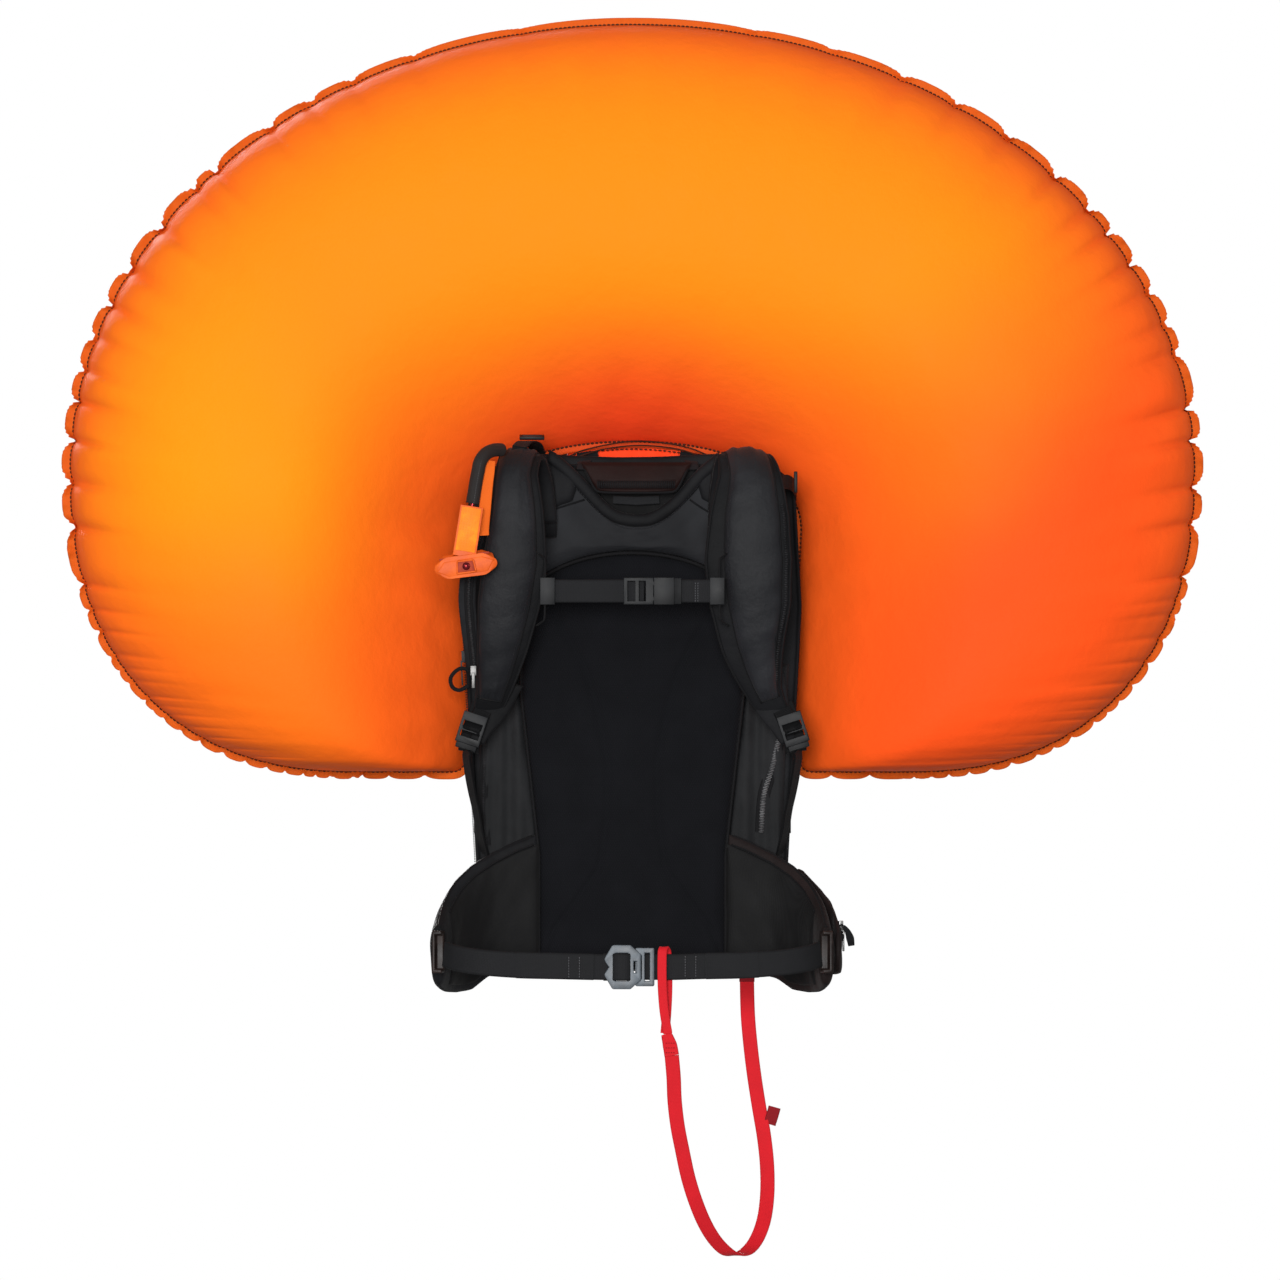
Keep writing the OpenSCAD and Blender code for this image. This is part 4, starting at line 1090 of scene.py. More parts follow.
def yoke_half(u, v):
    x = u * 147
    e = np.minimum(np.minimum(v, 1 - v) * 7, (1 - np.abs(u)) * 14)
    soft = waves(x * 1.2 + v * 60, 81, 40, 120) * 0.9 + waves(x * 0.5 - v * 90, 82, 22, 60) * 0.45
    return np.clip(e, 0, 1) ** 0.5 * (5.2 + soft)


yoke = quilt("yoke_pad", yoke_mid, yoke_half, 110, 34, "pack", YOKE, "pack_fabric", back=0.9,
             us=both_ends(110), vs=to_edges(34))
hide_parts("yoke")

# padded roll round the neckline, from strap to strap
roll = curve([[x, 0, z] for x, z in zip(NECK_X, NECK_Z)], 6)
neckline = padding("neckline_roll", roll, 13.5, 11, "pack", LINER, "pack_fabric", wide=(0, 0, 1), step=3.0,
                   puff=0.35, seed=83, edge=2.5, power=2.2)
s_out = curve([[p[0], p[1] - 3.4, p[2] - 8.5] for p in roll[::8]], 8)
stitches("neckline_thread", [(s_out[8:-8] + [0, -1.0, 0], (0, -1, 0))], "pack", THREADBLACK, None, pitch=3.6,
         r=0.4)

# hem of the bag's mouth, behind the handle
hem = curve([[-116, 30, 256], [-104, 27, 265], [-88, 24, 268], [-60, 22, 266], [0, 22, 264.5],
             [60, 22, 266.5], [88, 24, 268], [104, 27, 265], [116, 30, 256]], 8)
hem_pad = padding("bag_mouth_hem", hem - [0, 0, 8], 20, 9, "pack", LINER, "pack_fabric", wide=(0, 0, 1),
                  step=3.0, puff=0.5, seed=87, edge=2.0, power=2.4)

# seams that run from the neckline to the straps' roots
for tag, p in (("left", [[-50, -1.4, 222], [-72, -1.7, 215], [-94, -1.6, 208], [-112, -1.2, 204]]),
               ("right", [[60, -1.4, 222], [70, -1.7, 215], [82, -1.6, 208], [100, -1.2, 201]])):
    piping("yoke_seam_" + tag, curve(p, 6), 1.0)
for tag, p, w in (("left", [[-112, 0.5, 236], [-92, 0, 235], [-74, 0, 233], [-60, 0, 229]], [70, 54, 38, 18]),
                  ("right", [[112, 0.5, 236], [96, 0, 235], [82, 0, 235], [70, 0, 232]], [74, 58, 40, 20])):
    patch = padding("yoke_patch_" + tag, curve(p, 5), graded(w, 5), 11.6, "pack", LINER, "pack_fabric",
                    wide=(0, 0, 1), step=3.0, puff=0.3, seed=89, edge=2.0, power=3.0)
# a near-black patch in the bag's mouth behind the handle: painted shade in the hollow there
lining = padding("bag_mouth_painted_shade", curve([[-64, 14.6, 240], [-40, 14, 234], [6, 14, 230], [52, 14, 234],
                                            [76, 14.6, 240]], 6), graded([34, 50, 62, 50, 34], 6), 4.0,
                 "pack", MOUTH_SHADE, "pack_fabric", wide=(0, 0, 1), step=3.0, puff=0.4, seed=90, edge=1.2)


def panel_mid(u, v):
    top = arch_top(u * 116, 116, 100, ARCH - 100)
    z = FOOT_Z + v * (top - FOOT_Z)
    w = np.where(z < -150, 97, np.where(z < 20, 97 + 19 * (z + 150) / 170, 116))
    return np.stack([u * w, 7.0 + 0 * u, z], 2)


CHAN_Z = [-250, -227, -206, -164, -110, -56, 0, 29, 46, 85, 120]
CHAN_X = [104, 93, 74, 39.5, 29, 26, 35, 42, 47, 68, 86]


def channel(z):
    return np.interp(z, CHAN_Z, CHAN_X)


def panel_half(u, v):
    x, z = u * 110, FOOT_Z + v * (arch_top(u * 116, 116, 100, ARCH - 100) - FOOT_Z)
    e = np.minimum((1 - np.abs(u)) * 9, np.minimum(v, 1 - v) * 34)
    h = 6.4 + 0.8 * np.cos(u * 1.4)
    # two long curved channels that close at the spine and part at the lumbar
    h = h - 2.6 * np.exp(-((np.abs(x) - channel(z)) / 4.5) ** 2)
    h = h + waves(x * 0.8 + z * 0.6, 91, 60, 160) * 0.5 + waves(z - x * 0.4, 92, 26, 70) * 0.18
    return np.clip(e, 0, 1) ** 0.5 * h


back = quilt("back_panel_knit", panel_mid, panel_half, 90, 170, "pack", KNIT, "back_knit", back=1.0,
             us=both_ends(90) * 0.35 + np.linspace(-1, 1, 90) * 0.65)
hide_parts("back_panel")
arch_x = 117 * np.sin(np.linspace(-1.5, 1.5, 90))
arch_line = np.array([[x, -0.2, float(arch_top(x, 117.5, 101, ARCH - 100))] for x in arch_x])
piping("back_panel_arch_piping", arch_line, 1.7)
for sx in (-1, 1):
    side = np.array([[sx * (97.6 if z < -150 else 97.6 + 19 * (z + 150) / 170 if z < 20 else 116.6), 1.6, z]
                     for z in np.linspace(FOOT_Z, 100, 110)])
    piping("back_panel_piping_" + LEFT_RIGHT[sx], side, 1.5)

# ------------------------------------------------------------------ shoulder straps
STRAP_P = [[-98, -11, 196], [-104, -15, 238], [-114, -36, 266], [-121, -60, 248], [-120, -70, 205],
           [-123, -71, 158], [-129, -67, 112], [-136, -57, 66], [-145, -41, 22], [-154, -26, -6]]
STRAP_W = [38, 42, 42, 44, 54, 66, 64, 52, 36, 24]
PLAIN_P = [[98, -11, 196], [104, -15, 238], [114, -36, 266], [122, -60, 248], [122, -70, 205],
           [121, -71, 158], [123, -67, 112], [126, -57, 66], [137, -41, 22], [152, -26, -6]]
PLAIN_W = [38, 44, 52, 64, 82, 90, 84, 64, 38, 26]


def strap(sx, pts, widths, inner_in, outer_in):
    """A shoulder strap: a flat lining with a stuffed face sewn to it, set in from both edges."""
    tag = LEFT_RIGHT[sx]
    path = curve(pts, 8)
    w = graded(widths, 8)
    _, wv, mv = frames(path, (1, 0, 0))
    out = -1 if np.dot(mv[40], (0, -1, 0)) < 0 else 1  # which way mv has to turn to face the camera
    lining = padding("strap_lining_" + tag, path - mv * out * 2.5, w, 10, "pack", LINER, "strap_fabric",
                     step=4.0, edge=3.0, puff=0.5, seed=101 + sx, front=1.0, back=1.0, power=3.4)
    a, b = graded(inner_in, 8), graded(outer_in, 8)
    face_path = path + wv * (sx * (a - b) / 2)[:, None] + mv * (out * 2.0)
    fw = w - a - b
    k = slice(6, -6)
    face = padding("strap_face_" + tag, face_path[k], fw[k], 17.5, "pack", STRAP, "strap_fabric", step=3.0,
                   edge=2.0, puff=0.8, seed=111 + sx, front=1.0 if out > 0 else 0.25, back=0.25 if out > 0
                   else 1.0, power=2.0, sides=44, ends=16.0, pleat=1.5)
    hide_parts("shoulder_strap_" + tag)
    inner = face_path - wv * (sx * (fw / 2 - 0.4))[:, None] + mv * (out * 1.6)
    outer = face_path + wv * (sx * (fw / 2 - 0.4))[:, None] + mv * (out * 1.6)
    edge = path - wv * (sx * (w / 2 - 0.8))[:, None]
    edge2 = path + wv * (sx * (w / 2 - 0.8))[:, None]
    for part, line, r in (("strap_piping_inner_", inner[7:-6], 1.3),
                          ("strap_piping_outer_", outer[7:-6], 1.3), ("strap_lining_edge_", edge[3:-1], 1.6),
                          ("strap_lining_outer_edge_", edge2[3:-1], 1.6)):
        piping(part + tag, line, r, "strap_fabric")
    row = face_path - wv * (sx * (fw / 2 - 4.0))[:, None] + mv * (out * 6.2)
    stitches("strap_thread_" + tag, [(row[24:-12], mv[24:-12] * out)], "pack", THREADBLACK, None, pitch=3.4,
             r=0.32)
    # lower flap that tapers to the ladder lock
    flap = curve([[sx * 136, -36, 34], [sx * 146, -31, 6], [sx * 156, -29, -16], [sx * 163, -31, -32]], 6)
    fp = padding("strap_flap_" + tag, flap, graded([46, 36, 22, 15], 6), 6, "pack", LINER, "strap_fabric",
                 step=3.0, edge=2.0, puff=0.3, seed=121 + sx)
    # hidden root, sewn to the yoke
    root = curve([[sx * 97, 0, 182], [sx * 98, -6, 196], [sx * 101, -12, 215]], 6)
    rp = padding("strap_root_" + tag, root, graded([36, 38, 40], 6), 12, "pack", LINER, "strap_fabric",
                 step=4.0, edge=3.0)


strap(-1, STRAP_P, STRAP_W, [5, 5, 6, 8, 9, 10.5, 11, 9.5, 7, 5], [1, 1, 1, 1, 1, 1, 1, 1, 2, 3])
strap(1, PLAIN_P, PLAIN_W, [5, 6, 8, 12, 16, 20, 20, 18, 12, 6], [2, 3, 5, 8, 10, 10, 10, 8, 4, 2])
# zip that shuts the broad strap's side
path = curve(PLAIN_P, 8)
_, wv, mv = frames(path, (1, 0, 0))
inwards = 4.2 if np.dot(mv[40], (0, -1, 0)) < 0 else -4.2
path = path + wv * (graded(PLAIN_W, 8) / 2 - 5.0)[:, None] - mv * inwards
zipper("plain_strap_zip_teeth", path[30:66], (0.2, -0.98, 0), "pack", TEETH, "zip_tape", width=3.4, pitch=2.4)

# ------------------------------------------------------------------ zips
zp = curve([[-147, -62, 236], [-152, -68, 206], [-162, -66, 172], [-169, -60, 146], [-171, -57, 118],
            [-169, -54, 88], [-166.5, -50.5, 64], [-164.5, -46.5, 44]], 8)
tape = padding("strap_zip_flap", zp + [-1.5, 2.6, 0], graded([8, 10, 13, 17, 18, 17, 15, 12], 8), 3.4, "pack",
               PACK, "pack_fabric", step=3.0, edge=1.4, puff=0.4, seed=105)
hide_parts("strap_zip")
ribbon("strap_zip_tape", zp + [0, 0.4, 0], 9, 1.0, "pack", BINDING, "zip_tape", step=3.0)
zipper("strap_zip_teeth", zp + [0, -0.8, 0], (-0.25, -0.96, 0), "pack", TEETHDIM, "zip_tape", width=3.2,
       pitch=2.1)
sz = curve([[153, 15.2, -30], [146, 15.2, -60], [138.5, 15.2, -84], [136, 15.2, -104], [135, 15.2, -126]], 6)
sz[:, 1] = 11.0
side_tape = ribbon("side_zip_tape", sz + [0, 1.2, 0], 13, 1.0, "pack", BINDING, "grey_zip")
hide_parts("side_zip")
zipper("side_zip_teeth", sz, (0, -1, 0), "pack", TEETHGREY, "grey_zip", width=5.6, pitch=1.8)
sz2 = curve([[-152, 11, -24], [-155, 11, -60], [-156, 10.6, -100], [-153, 10.6, -140]], 6)
ribbon("left_side_zip_tape", sz2 + [0, 1.2, 0], 10, 1.0, "pack", BINDING, "zip_tape")
zipper("left_side_zip_teeth", sz2, (0, -1, 0), "pack", TEETH, "grey_zip", width=3.2, pitch=1.8)


def side_x(y, z):
    """Half the bag's width at a depth and height."""
    return 176 - (110 - z) * (18 / 340) - 26 * (y - BAG_FRONT) / BAG_DEPTH


mz = np.array([[-side_x(28, z) - 4.4, 28.5, z] for z in np.linspace(-170, 80, 60)])
mt = ribbon("main_zip_tape", mz + [1.6, 0, 0], 15, 1.0, "pack", BINDING, "grey_zip", wide=(0, 1, 0))
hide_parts("main_zip")
zipper("main_zip_teeth", mz, (-1, 0, 0), "pack", TEETH, "grey_zip", width=5.0, pitch=2.6)

# ------------------------------------------------------------------ webbing
LIFT = [[-118, -46, 276.5], [-112, -30, 282], [-104, 0, 281], [-100, 30, 274], [-98, 60, 262]]
RIGHT_LIFT = [[156, -54, 240], [158, -49, 240], [163, -32, 240], [168, -10, 237], [171, 14, 232],
              [171, 34, 228]]
lf = [(curve(LIFT, 6), 16, 1.8, (1, 0, 0)),
      (curve([[-118, -45, 275.2], [-121, -52, 265], [-122, -60, 252]], 6), 15, 1.4, (1, 0, 0)),
      (curve(RIGHT_LIFT, 6), 15, 1.8, (0, 0, 1))]
lift = ribbons("load_lifter_webbing", lf, "pack", WEBFINE, "black_webbing", wave=0.15)
LOWER = [[-172, -38, -40], [-173, -34, -48], [-171, -24, -64], [-167, -10, -86], [-162, 1, -112],
         [-158, 7, -134], [-155, 13, -147], [-153, 18.5, -154]]
low = ribbons("lower_webbing_runs", [(curve(LOWER, 6), 17, 1.9, (0.42, -0.9, 0)),
                                     (curve(mirrored(LOWER), 6), 17, 1.9, (0.42, 0.9, 0))], "pack", WEBDARK,
              "black_webbing", wave=0.3)
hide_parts("lower_webbings")
# the webbing round each lock's bar, and the tape that holds the lock
round_bar = [[156, -33, 2], [161, -37, -8], [166, -42.5, -15], [168.5, -44.5, -18], [168, -40, -22],
             [165, -36, -14], [160, -33, -4]]
holder = [[157, -29, 8], [163, -29.5, -8], [168, -30, -24], [171.5, -31.5, -42]]
loops = [(curve([[sx * x, y, z] for x, y, z in line], 5), width, thick, (across, 0, tilt * sx))
         for line, width, thick, across, tilt in ((round_bar, 19, 1.6, 0.95, 0.31),
                                                  (holder, 22, 1.5, 0.96, 0.28)) for sx in (-1, 1)]
ribbons("ladder_lock_loops", loops, "pack", WEBDARK, "black_webbing", step=2.0)
stern = ribbons("sternum_webbing_run",
                [([[-84.5, -87, 126], [-40, -87.2, 126], [12, -87, 126]], 24, 1.5, (0, 0, 1)),
                 ([[44, -87, 126], [66, -87.1, 126], [84.5, -87, 126]], 24, 1.5, (0, 0, 1)),
                 ([[64, -88.5, 126], [84, -88.5, 126]], 24, 1.1, (0, 0, 1))], "sternum_strap", WEB,
                "black_webbing", step=2.5)
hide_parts("sternum_webbing")
bars = [([[x, -89.4, 115], [x, -89.4, 137]], (0, -1, 0)) for x in (65.6, 68.4)]
stitches("sternum_bartacks", bars, "sternum_strap", THREADGREY, None, pitch=2.6, r=0.4)

BELT = [[-196, -112, -252], [-184, -128, -256], [-160, -142, -260], [-120, -151, -263], [-76, -156, -264],
        [-30, -158, -265], [-4, -158, -265]]
TAIL = [[44, -157.6, -265], [32, -157.2, -265], [25, -152.8, -265], [12, -152.8, -265]]


def upright(path, off, dz=0.0):
    """path moved off its own vertical face, outwards."""
    return path + flat_normal(path) * off + np.array([0, 0, dz])


bl = curve(BELT, 8)
left_runs = [(bl[:-3], 27, 2.2, (0, 0, 1)), (upright(bl, 2.3)[24:39], 27.5, 1.7, (0, 0, 1))]
wl = ribbons("hip_webbing_left_run", left_runs, "hip_left", WEB, "black_webbing", wave=0.25)
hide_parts("hip_webbing_left")
br = np.concatenate([curve(mirrored(BELT[:-2]), 8), curve(TAIL, 6)])
rc = curve(mirrored(BELT[:-2]), 8)
sgn = 1 if upright(rc, 1.0)[20][1] < rc[20][1] else -1
back_run = [[46, -154.6, -265], [30, -153.6, -265], [6, -153.4, -265]]
right_runs = [(br, 27, 2.2, (0, 0, 1)), (back_run, 27, 1.4, (0, 0, 1)),
              (upright(rc, 2.3 * sgn)[22:], 27.5, 1.7, (0, 0, 1))]
wr = ribbons("hip_webbing_right_run", right_runs, "pack", WEB, "black_webbing", wave=0.2)
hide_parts("hip_webbing_right")
wrap = curve([[-30, -158.6, -265], [-25, -160.0, -265], [-21, -164.5, -265], [-15, -167.8, -265],
              [-8, -168.2, -265], [-3, -166.0, -265], [-1.5, -162.2, -265], [-6, -159.4, -265],
              [-18, -159.0, -265]], 5)
ribbon("buckle_wrap", wrap, 28.5, 1.9, "hip_buckle", WEB, "black_webbing", wide=(0, 0, 1), step=2.0)
bt = [([[x, -161.6 + abs(x + 55) * 0.03, -276], [x, -161.6, -253]], (0, -1, 0)) for x in (-66, -55)]
stitches("belt_bartacks_left", bt, "hip_left", THREADGREY, None, pitch=2.8, r=0.42)
bt = [([[x, -161.2, -275], [x, -161.2, -253]], (0, -1, 0)) for x in (66, 55)]
stitches("belt_bartacks_right", bt, "pack", THREADGREY, None, pitch=2.8, r=0.42)

# ------------------------------------------------------------------ hip wings
WING = [[-99, 5, -195], [-120, 2, -202], [-138, -1, -207], [-152, -5, -212], [-168, -15, -222],
        [-184, -32, -231], [-195, -56, -240], [-200, -80, -247], [-202, -96, -250]]
WING_H = [136, 134, 126, 121, 121, 108, 88, 66, 50]


def wing_piece(name, path, heights, thick, body, mat, slot, side_in, crown_in, crown_out, power=2.6, edge=2.4,
               puff=0.6, seed=1):
    """An upright padded strip. side_in is the sign of the face towards the wearer."""
    path, h = respace(path, 4.0, heights)
    s = lengths(path)
    m = flat_normal(path)
    u, top = round_section(44)
    rings, lie = [], []
    for i in range(len(path)):
        end = min(1.0, (min(s[i], s[-1] - s[i]) + 1.0) / 7) ** 0.5
        k = (1 - np.abs(u) ** power) ** 0.5 * (thick / 2 - edge / 2) * end + edge / 2
        lump = waves(np.full_like(u, s[i]) + u * h[i] * 0.35, seed, 26, 80) * puff * (np.abs(u) < 0.985)
        inner = (top > 0) if side_in > 0 else (top < 0)
        k = (k + lump) * np.where(inner, crown_in, crown_out) * top
        rings.append(path[i] + np.array([0, 0, 1]) * (u * h[i] / 2)[:, None] + m[i] * k[:, None])
        lie += [(x * h[i] / 2 * MM, s[i] * MM, x) for x in u]
    v, f, lie = skin(rings, lie, s)
    return make(name, v, f, body, mat, slot, lie)


def wing(sx):
    tag = LEFT_RIGHT[sx]
    pts = curve(WING if sx < 0 else mirrored(WING), 6)
    hs = graded(WING_H, 6)
    drop = np.interp(np.abs(pts[:, 0]), [118, 140, 172, 202], [0, 1.5 + 1.5 * (sx > 0), 4.0, 4.0])
    pts[:, 2] -= drop
    hs = hs + 2 * drop - 1.0
    inn = -1 if sx < 0 else 1  # the face towards the wearer is -m on the left, +m on the right
    shell = wing_piece("wing_shell_" + tag, pts, hs, 19, None, PACK if sx < 0 else POCKET, "pack_fabric", inn,
                       0.8, 1.0, seed=131 + sx, puff=0.55)
    k = slice(0, 38)
    path_in = upright(pts, 4.6 * inn, -2.0)
    lining = wing_piece("wing_lining_" + tag, path_in[k], (hs - 17)[k], 9, None, WINGIN, "pack_fabric", inn,
                        1.15, 0.4, seed=141 + sx, puff=0.35, power=2.0, edge=1.6)
    up = np.array([0, 0, 1])
    edge = up * (hs / 2 - 1.0)[:, None]
    seam = upright(pts, 6.0 * inn) + up * (hs / 2 - 9.5)[:, None]
    cords = [cord_mesh("wing_" + part + tag, line, r, None, BINDING, "pack_fabric", wide=(0, 1, 0.2))
             for part, line, r in (("piping_", (pts + edge)[2:-1], 2.0),
                                   ("lower_piping_", (pts - edge)[2:-1], 1.8), ("seam_", seam[2:38], 1.1))]
    for p in [shell, lining] + cords:
        if sx < 0:
            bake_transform(p)
        else:
            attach(p, "pack")
    return shell


wing_l, wing_r = wing(-1), wing(1)
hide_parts("hip_wing_left")
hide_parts("hip_wing_right")
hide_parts("lumbar_wings")
POCK = [[172, 2.5, -204], [177.6, -3.6, -208], [196.6, -23.6, -227], [209.2, -51.2, -240],
        [214.2, -77.6, -249], [214.6, -84, -250]]
pp = curve(POCK, 8)
ph = graded([78, 84, 82, 68, 47, 40], 8)
pocket = wing_piece("belt_pocket", pp, ph, 9.5, "pack", POCKET, "pocket_fabric", 1, 0.9, 1.1, seed=151,
                    puff=1.1, power=2.2, edge=1.6)
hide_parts("hip_pocket")
pz = upright(pp, -5.2, 14.0)
ribbon("belt_pocket_zip_tape", pz[8:-8], 9, 1.2, "pack", BINDING, "zip_tape", wide=(0, 0, 1))
zipper("belt_pocket_zip_teeth", upright(pp, -6.2, 14.0)[8:-8], (0.93, 0.3, 0), "pack", TEETH, "zip_tape",
       width=3.6, pitch=2.2)

# ------------------------------------------------------------------ haul handle
# the grip is a flat band that hangs as a trapezium: wide at the top, narrow and rolled at the bottom


def hand_mid(u, v):
    top_w, low_w = 58, 41
    w = low_w + (top_w - low_w) * v ** 0.8
    z = 228 + 33 * v + 1.5 * np.abs(u) ** 3 * (1 - v)
    y = -7 + 13 * np.clip(v - 0.35, 0, 1) ** 1.4 + 7 * np.abs(u) ** 4 * (1 - v)
    return np.stack([4 + u * w, y, z], 2)


def hand_half(u, v):
    e = np.minimum((1 - np.abs(u)) * 16, np.minimum(v, 1 - v) * 9)
    roll = 1.6 * np.exp(-((v - 0.06) / 0.07) ** 2)
    return np.clip(e, 0.05, 1) ** 0.5 * (2.9 + roll - 0.9 * ((v > 0.16) & (v < 0.42) & (np.abs(u) < 0.86)))


hand = quilt("haul_handle_grip", hand_mid, hand_half, 70, 34, "haul_handle", HANDLE, "handle_webbing",
             us=both_ends(70), vs=to_edges(34))
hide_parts("haul_handle")
ribs = block([((x, -10.2, 237.5), (1.1, 1.4, 8.0), None) for x in np.arange(-36, 45, 1.9)])
make("haul_handle_ribs", *ribs, "haul_handle", WEBFINE, "black_webbing")
edge_line = curve([[-52, 1.5, 259], [-46, -6.6, 246], [-39, -9.6, 233], [-30, -10.6, 229.6], [4, -10.8, 229],
                   [38, -10.6, 229.6], [47, -9.6, 233], [54, -6.6, 246], [60, 1.5, 259]], 8)
piping("haul_handle_binding", edge_line, 1.3, "handle_webbing", "haul_handle")
top_lines = [(np.array([[x, -1.5 - 5.2 * (1 - abs((x - 4) / 60) ** 2), 249.5]
                        for x in np.linspace(-40, 48, 30)]), (0, -1, 0))]
stitches("haul_handle_thread", top_lines, "haul_handle", THREADBLACK, None, r=0.4)
ribbons("handle_backing", [([[-20, 6, 222], [4, 5, 220.5], [28, 6, 222]], 9, 2, (0, 0, 1)),
                           (curve([[-50, 14, 262], [-51, 9, 259], [-52, 5, 253]], 4), 14, 2, (1, 0, 0.2)),
                           (curve([[61, 14, 262], [62, 9, 259], [63, 5, 253]], 4), 14, 2, (1, 0, -0.2))],
        "pack", WEB, "black_webbing", step=2.0)

# ------------------------------------------------------------------ rigid pieces, with rounded edges
RIGID = {"strap_zip_pull": (PULLER, 0.5), "ladder_locks": (PLASTIC, 0.8), "sternum_sliders": (PLASTIC, 1.0),
         "sternum_buckle_plug": (PLASTIC, 0.7), "sternum_buckle_socket": (PLASTIC, 1.0),
         "hip_keeper_left": (KEEPER, 1.4), "hip_keeper_right": (KEEPER, 1.4),
         "hip_buckle_plate": (STEELBLUE, 0.9), "hip_buckle_frame": (STEELBLUE, 0.9),
         "main_zip_slider": (TEETH, 0.5), "hip_pocket_zip_slider": (BRIGHT, 0.5),
         "compression_buckles": (PLASTIC, 0.8), "trigger_handle": (TRIGGER, 1.3)}
for node, (mat, width) in RIGID.items():
    rounded(node, width, mat=mat)

INSIDE = {
    "frame_sheet": moulded("frame_plastic", (0.42, 0.42, 0.40), (0.68, 0.68, 0.65), rough=0.5),
    "frame_stay": brushed("stay_aluminium", (0.45, 0.45, 0.46), (0.78, 0.78, 0.8)),
    "blower_housing": moulded("housing_plastic", (0.02, 0.022, 0.026), (0.06, 0.065, 0.075), rough=0.45),
    "blower_cover": moulded("cover_plastic", (0.03, 0.032, 0.037), (0.08, 0.085, 0.095), rough=0.4),
    "impeller": moulded("impeller_plastic", (0.5, 0.52, 0.55), (0.72, 0.74, 0.78), rough=0.35),
    "blower_motor": brushed("motor_steel", (0.3, 0.3, 0.31), (0.6, 0.6, 0.62)),
    "check_valve_flap": moulded("valve_rubber", (0.6, 0.6, 0.57), (0.8, 0.8, 0.77), rough=0.6),
    "controller_case": moulded("case_plastic", (0.02, 0.023, 0.028), (0.055, 0.06, 0.07), rough=0.45),
    "supercapacitors": moulded("capacitor_sleeve", (0.01, 0.05, 0.25), (0.02, 0.10, 0.42), rough=0.25),
    "battery_cells": moulded("cell_sleeve", (0.30, 0.17, 0.03), (0.62, 0.40, 0.10), rough=0.25, metal=0.5),
    "power_switch": moulded("switch_plastic", (0.62, 0.12, 0.012), (0.85, 0.24, 0.03), rough=0.4),
    "battery_door": moulded("door_plastic", (0.03, 0.033, 0.04), (0.07, 0.075, 0.088), rough=0.42),
}
for node, mat in INSIDE.items():
    if node in ("impeller", "frame_stay", "supercapacitors", "battery_cells"):
        dress(node, mat)
        smoothed(NODES[node].data, 35)
    else:
        rounded(node, 0.8, mat=mat)

# load lifter buckles: one lies over the left strap, one stands beside the right strap
r = turn_x(8)
lb = [((-105, -13 + dy, 287 + dy * 0.14), (26, 2.8, 3.6), r) for dy in (-7.4, 0.0, 7.4)]
lb += [((-105 + dx, -13, 287), (2.8, 17.6, 3.6), r) for dx in (-11.6, 11.6)]
lb += [((170.8, -25 + dy, 240), (3.6, 2.8, 22), None) for dy in (-7.6, 0, 7.6)]
lb += [((170.8, -25, 240 + dz), (3.6, 17.6, 2.8), None) for dz in (-9.8, 9.8)]
buckles = make("load_lifter_buckles", *block(lb), "pack", PLASTIC, "buckle_plastic", smooth=False)


def soften(ob, width, segments=2):
    mod = ob.modifiers.new("round", "BEVEL")
    mod.width = width * MM
    mod.segments = segments
    mod.limit_method = "ANGLE"
    settle(ob)
    smoothed(ob.data, 35)


soften(buckles, 0.7)
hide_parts("load_lifters")
# webbing ring for tools
ring = curve([[-168, 14, 39], [-174, 12.5, 44.5], [-182, 12, 44.4], [-190, 12, 36], [-188.6, 12, 26],
              [-181, 12.3, 22.5], [-172, 14, 27]], 10)
rg = ribbon("tool_loop", ring, 6, 3.8, "pack", WEBFINE, "black_webbing", wide=(0, 1, 0), step=1.6)
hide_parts("tool_ring")

# ------------------------------------------------------------------ trigger
FOOT = np.array([-175.0, -94.0, 164.0])
LEAN = turn_y(9)
BAR = LEAN @ turn_y(-16)


def on_stem(x, y, z):
    return FOOT + LEAN @ np.array([x, y, z])


def on_bar(x, y, z):
    return FOOT + BAR @ np.array([x, y, z])


dots = [(on_stem(x, -8.2, z), (1.5, 0.9, 1.5), LEAN)
        for x in np.arange(-8.4, 9, 2.8) for z in np.arange(6, 48, 2.8)]
panel = (on_stem(0, -7.9, 26.5), (20.5, 1.2, 46), LEAN)
inlay = make("trigger_inlay_panel", *block([panel] + dots), "trigger", TRIGGERIN, "trigger_orange",
             smooth=False)
soften(inlay, 0.4, 2)
# rim round the recess of the fixing screw
corners = ((-10, -6.4), (10, -6.4), (8.5, 6), (-8.5, 6), (-10, -6.4))
corners = [on_bar(x, -10.3, -12.4 + z) for x, z in corners]
v, f, l = merge([rope(ends, 1.0, sides=8, wide=(0, 1, 0), step=2.0) for ends in zip(corners, corners[1:])])
make("trigger_recess_rim", v, f, "trigger", TRIGGER, "trigger_orange", l)
hexagon = [(-31, -2.5), (-23, 7), (19, 8.5), (30.5, 3.5), (23, -7.5), (-19, -9)]
rings = []
for y, lift, grow in ((-9.6, -12.6, 0.94), (-8.6, -12.2, 1.0), (-3.0, -9.6, 1.0), (5.5, -5.2, 0.97),
                      (6.4, -5.0, 0.92)):
    rings.append(np.array([on_bar(x * grow, y, z * grow + lift) for x, z in hexagon]))
bar = make("trigger_bar_face", *loft(rings), "trigger", TRIGGER, "trigger_orange", smooth=False)
soften(bar, 1.1, 3)
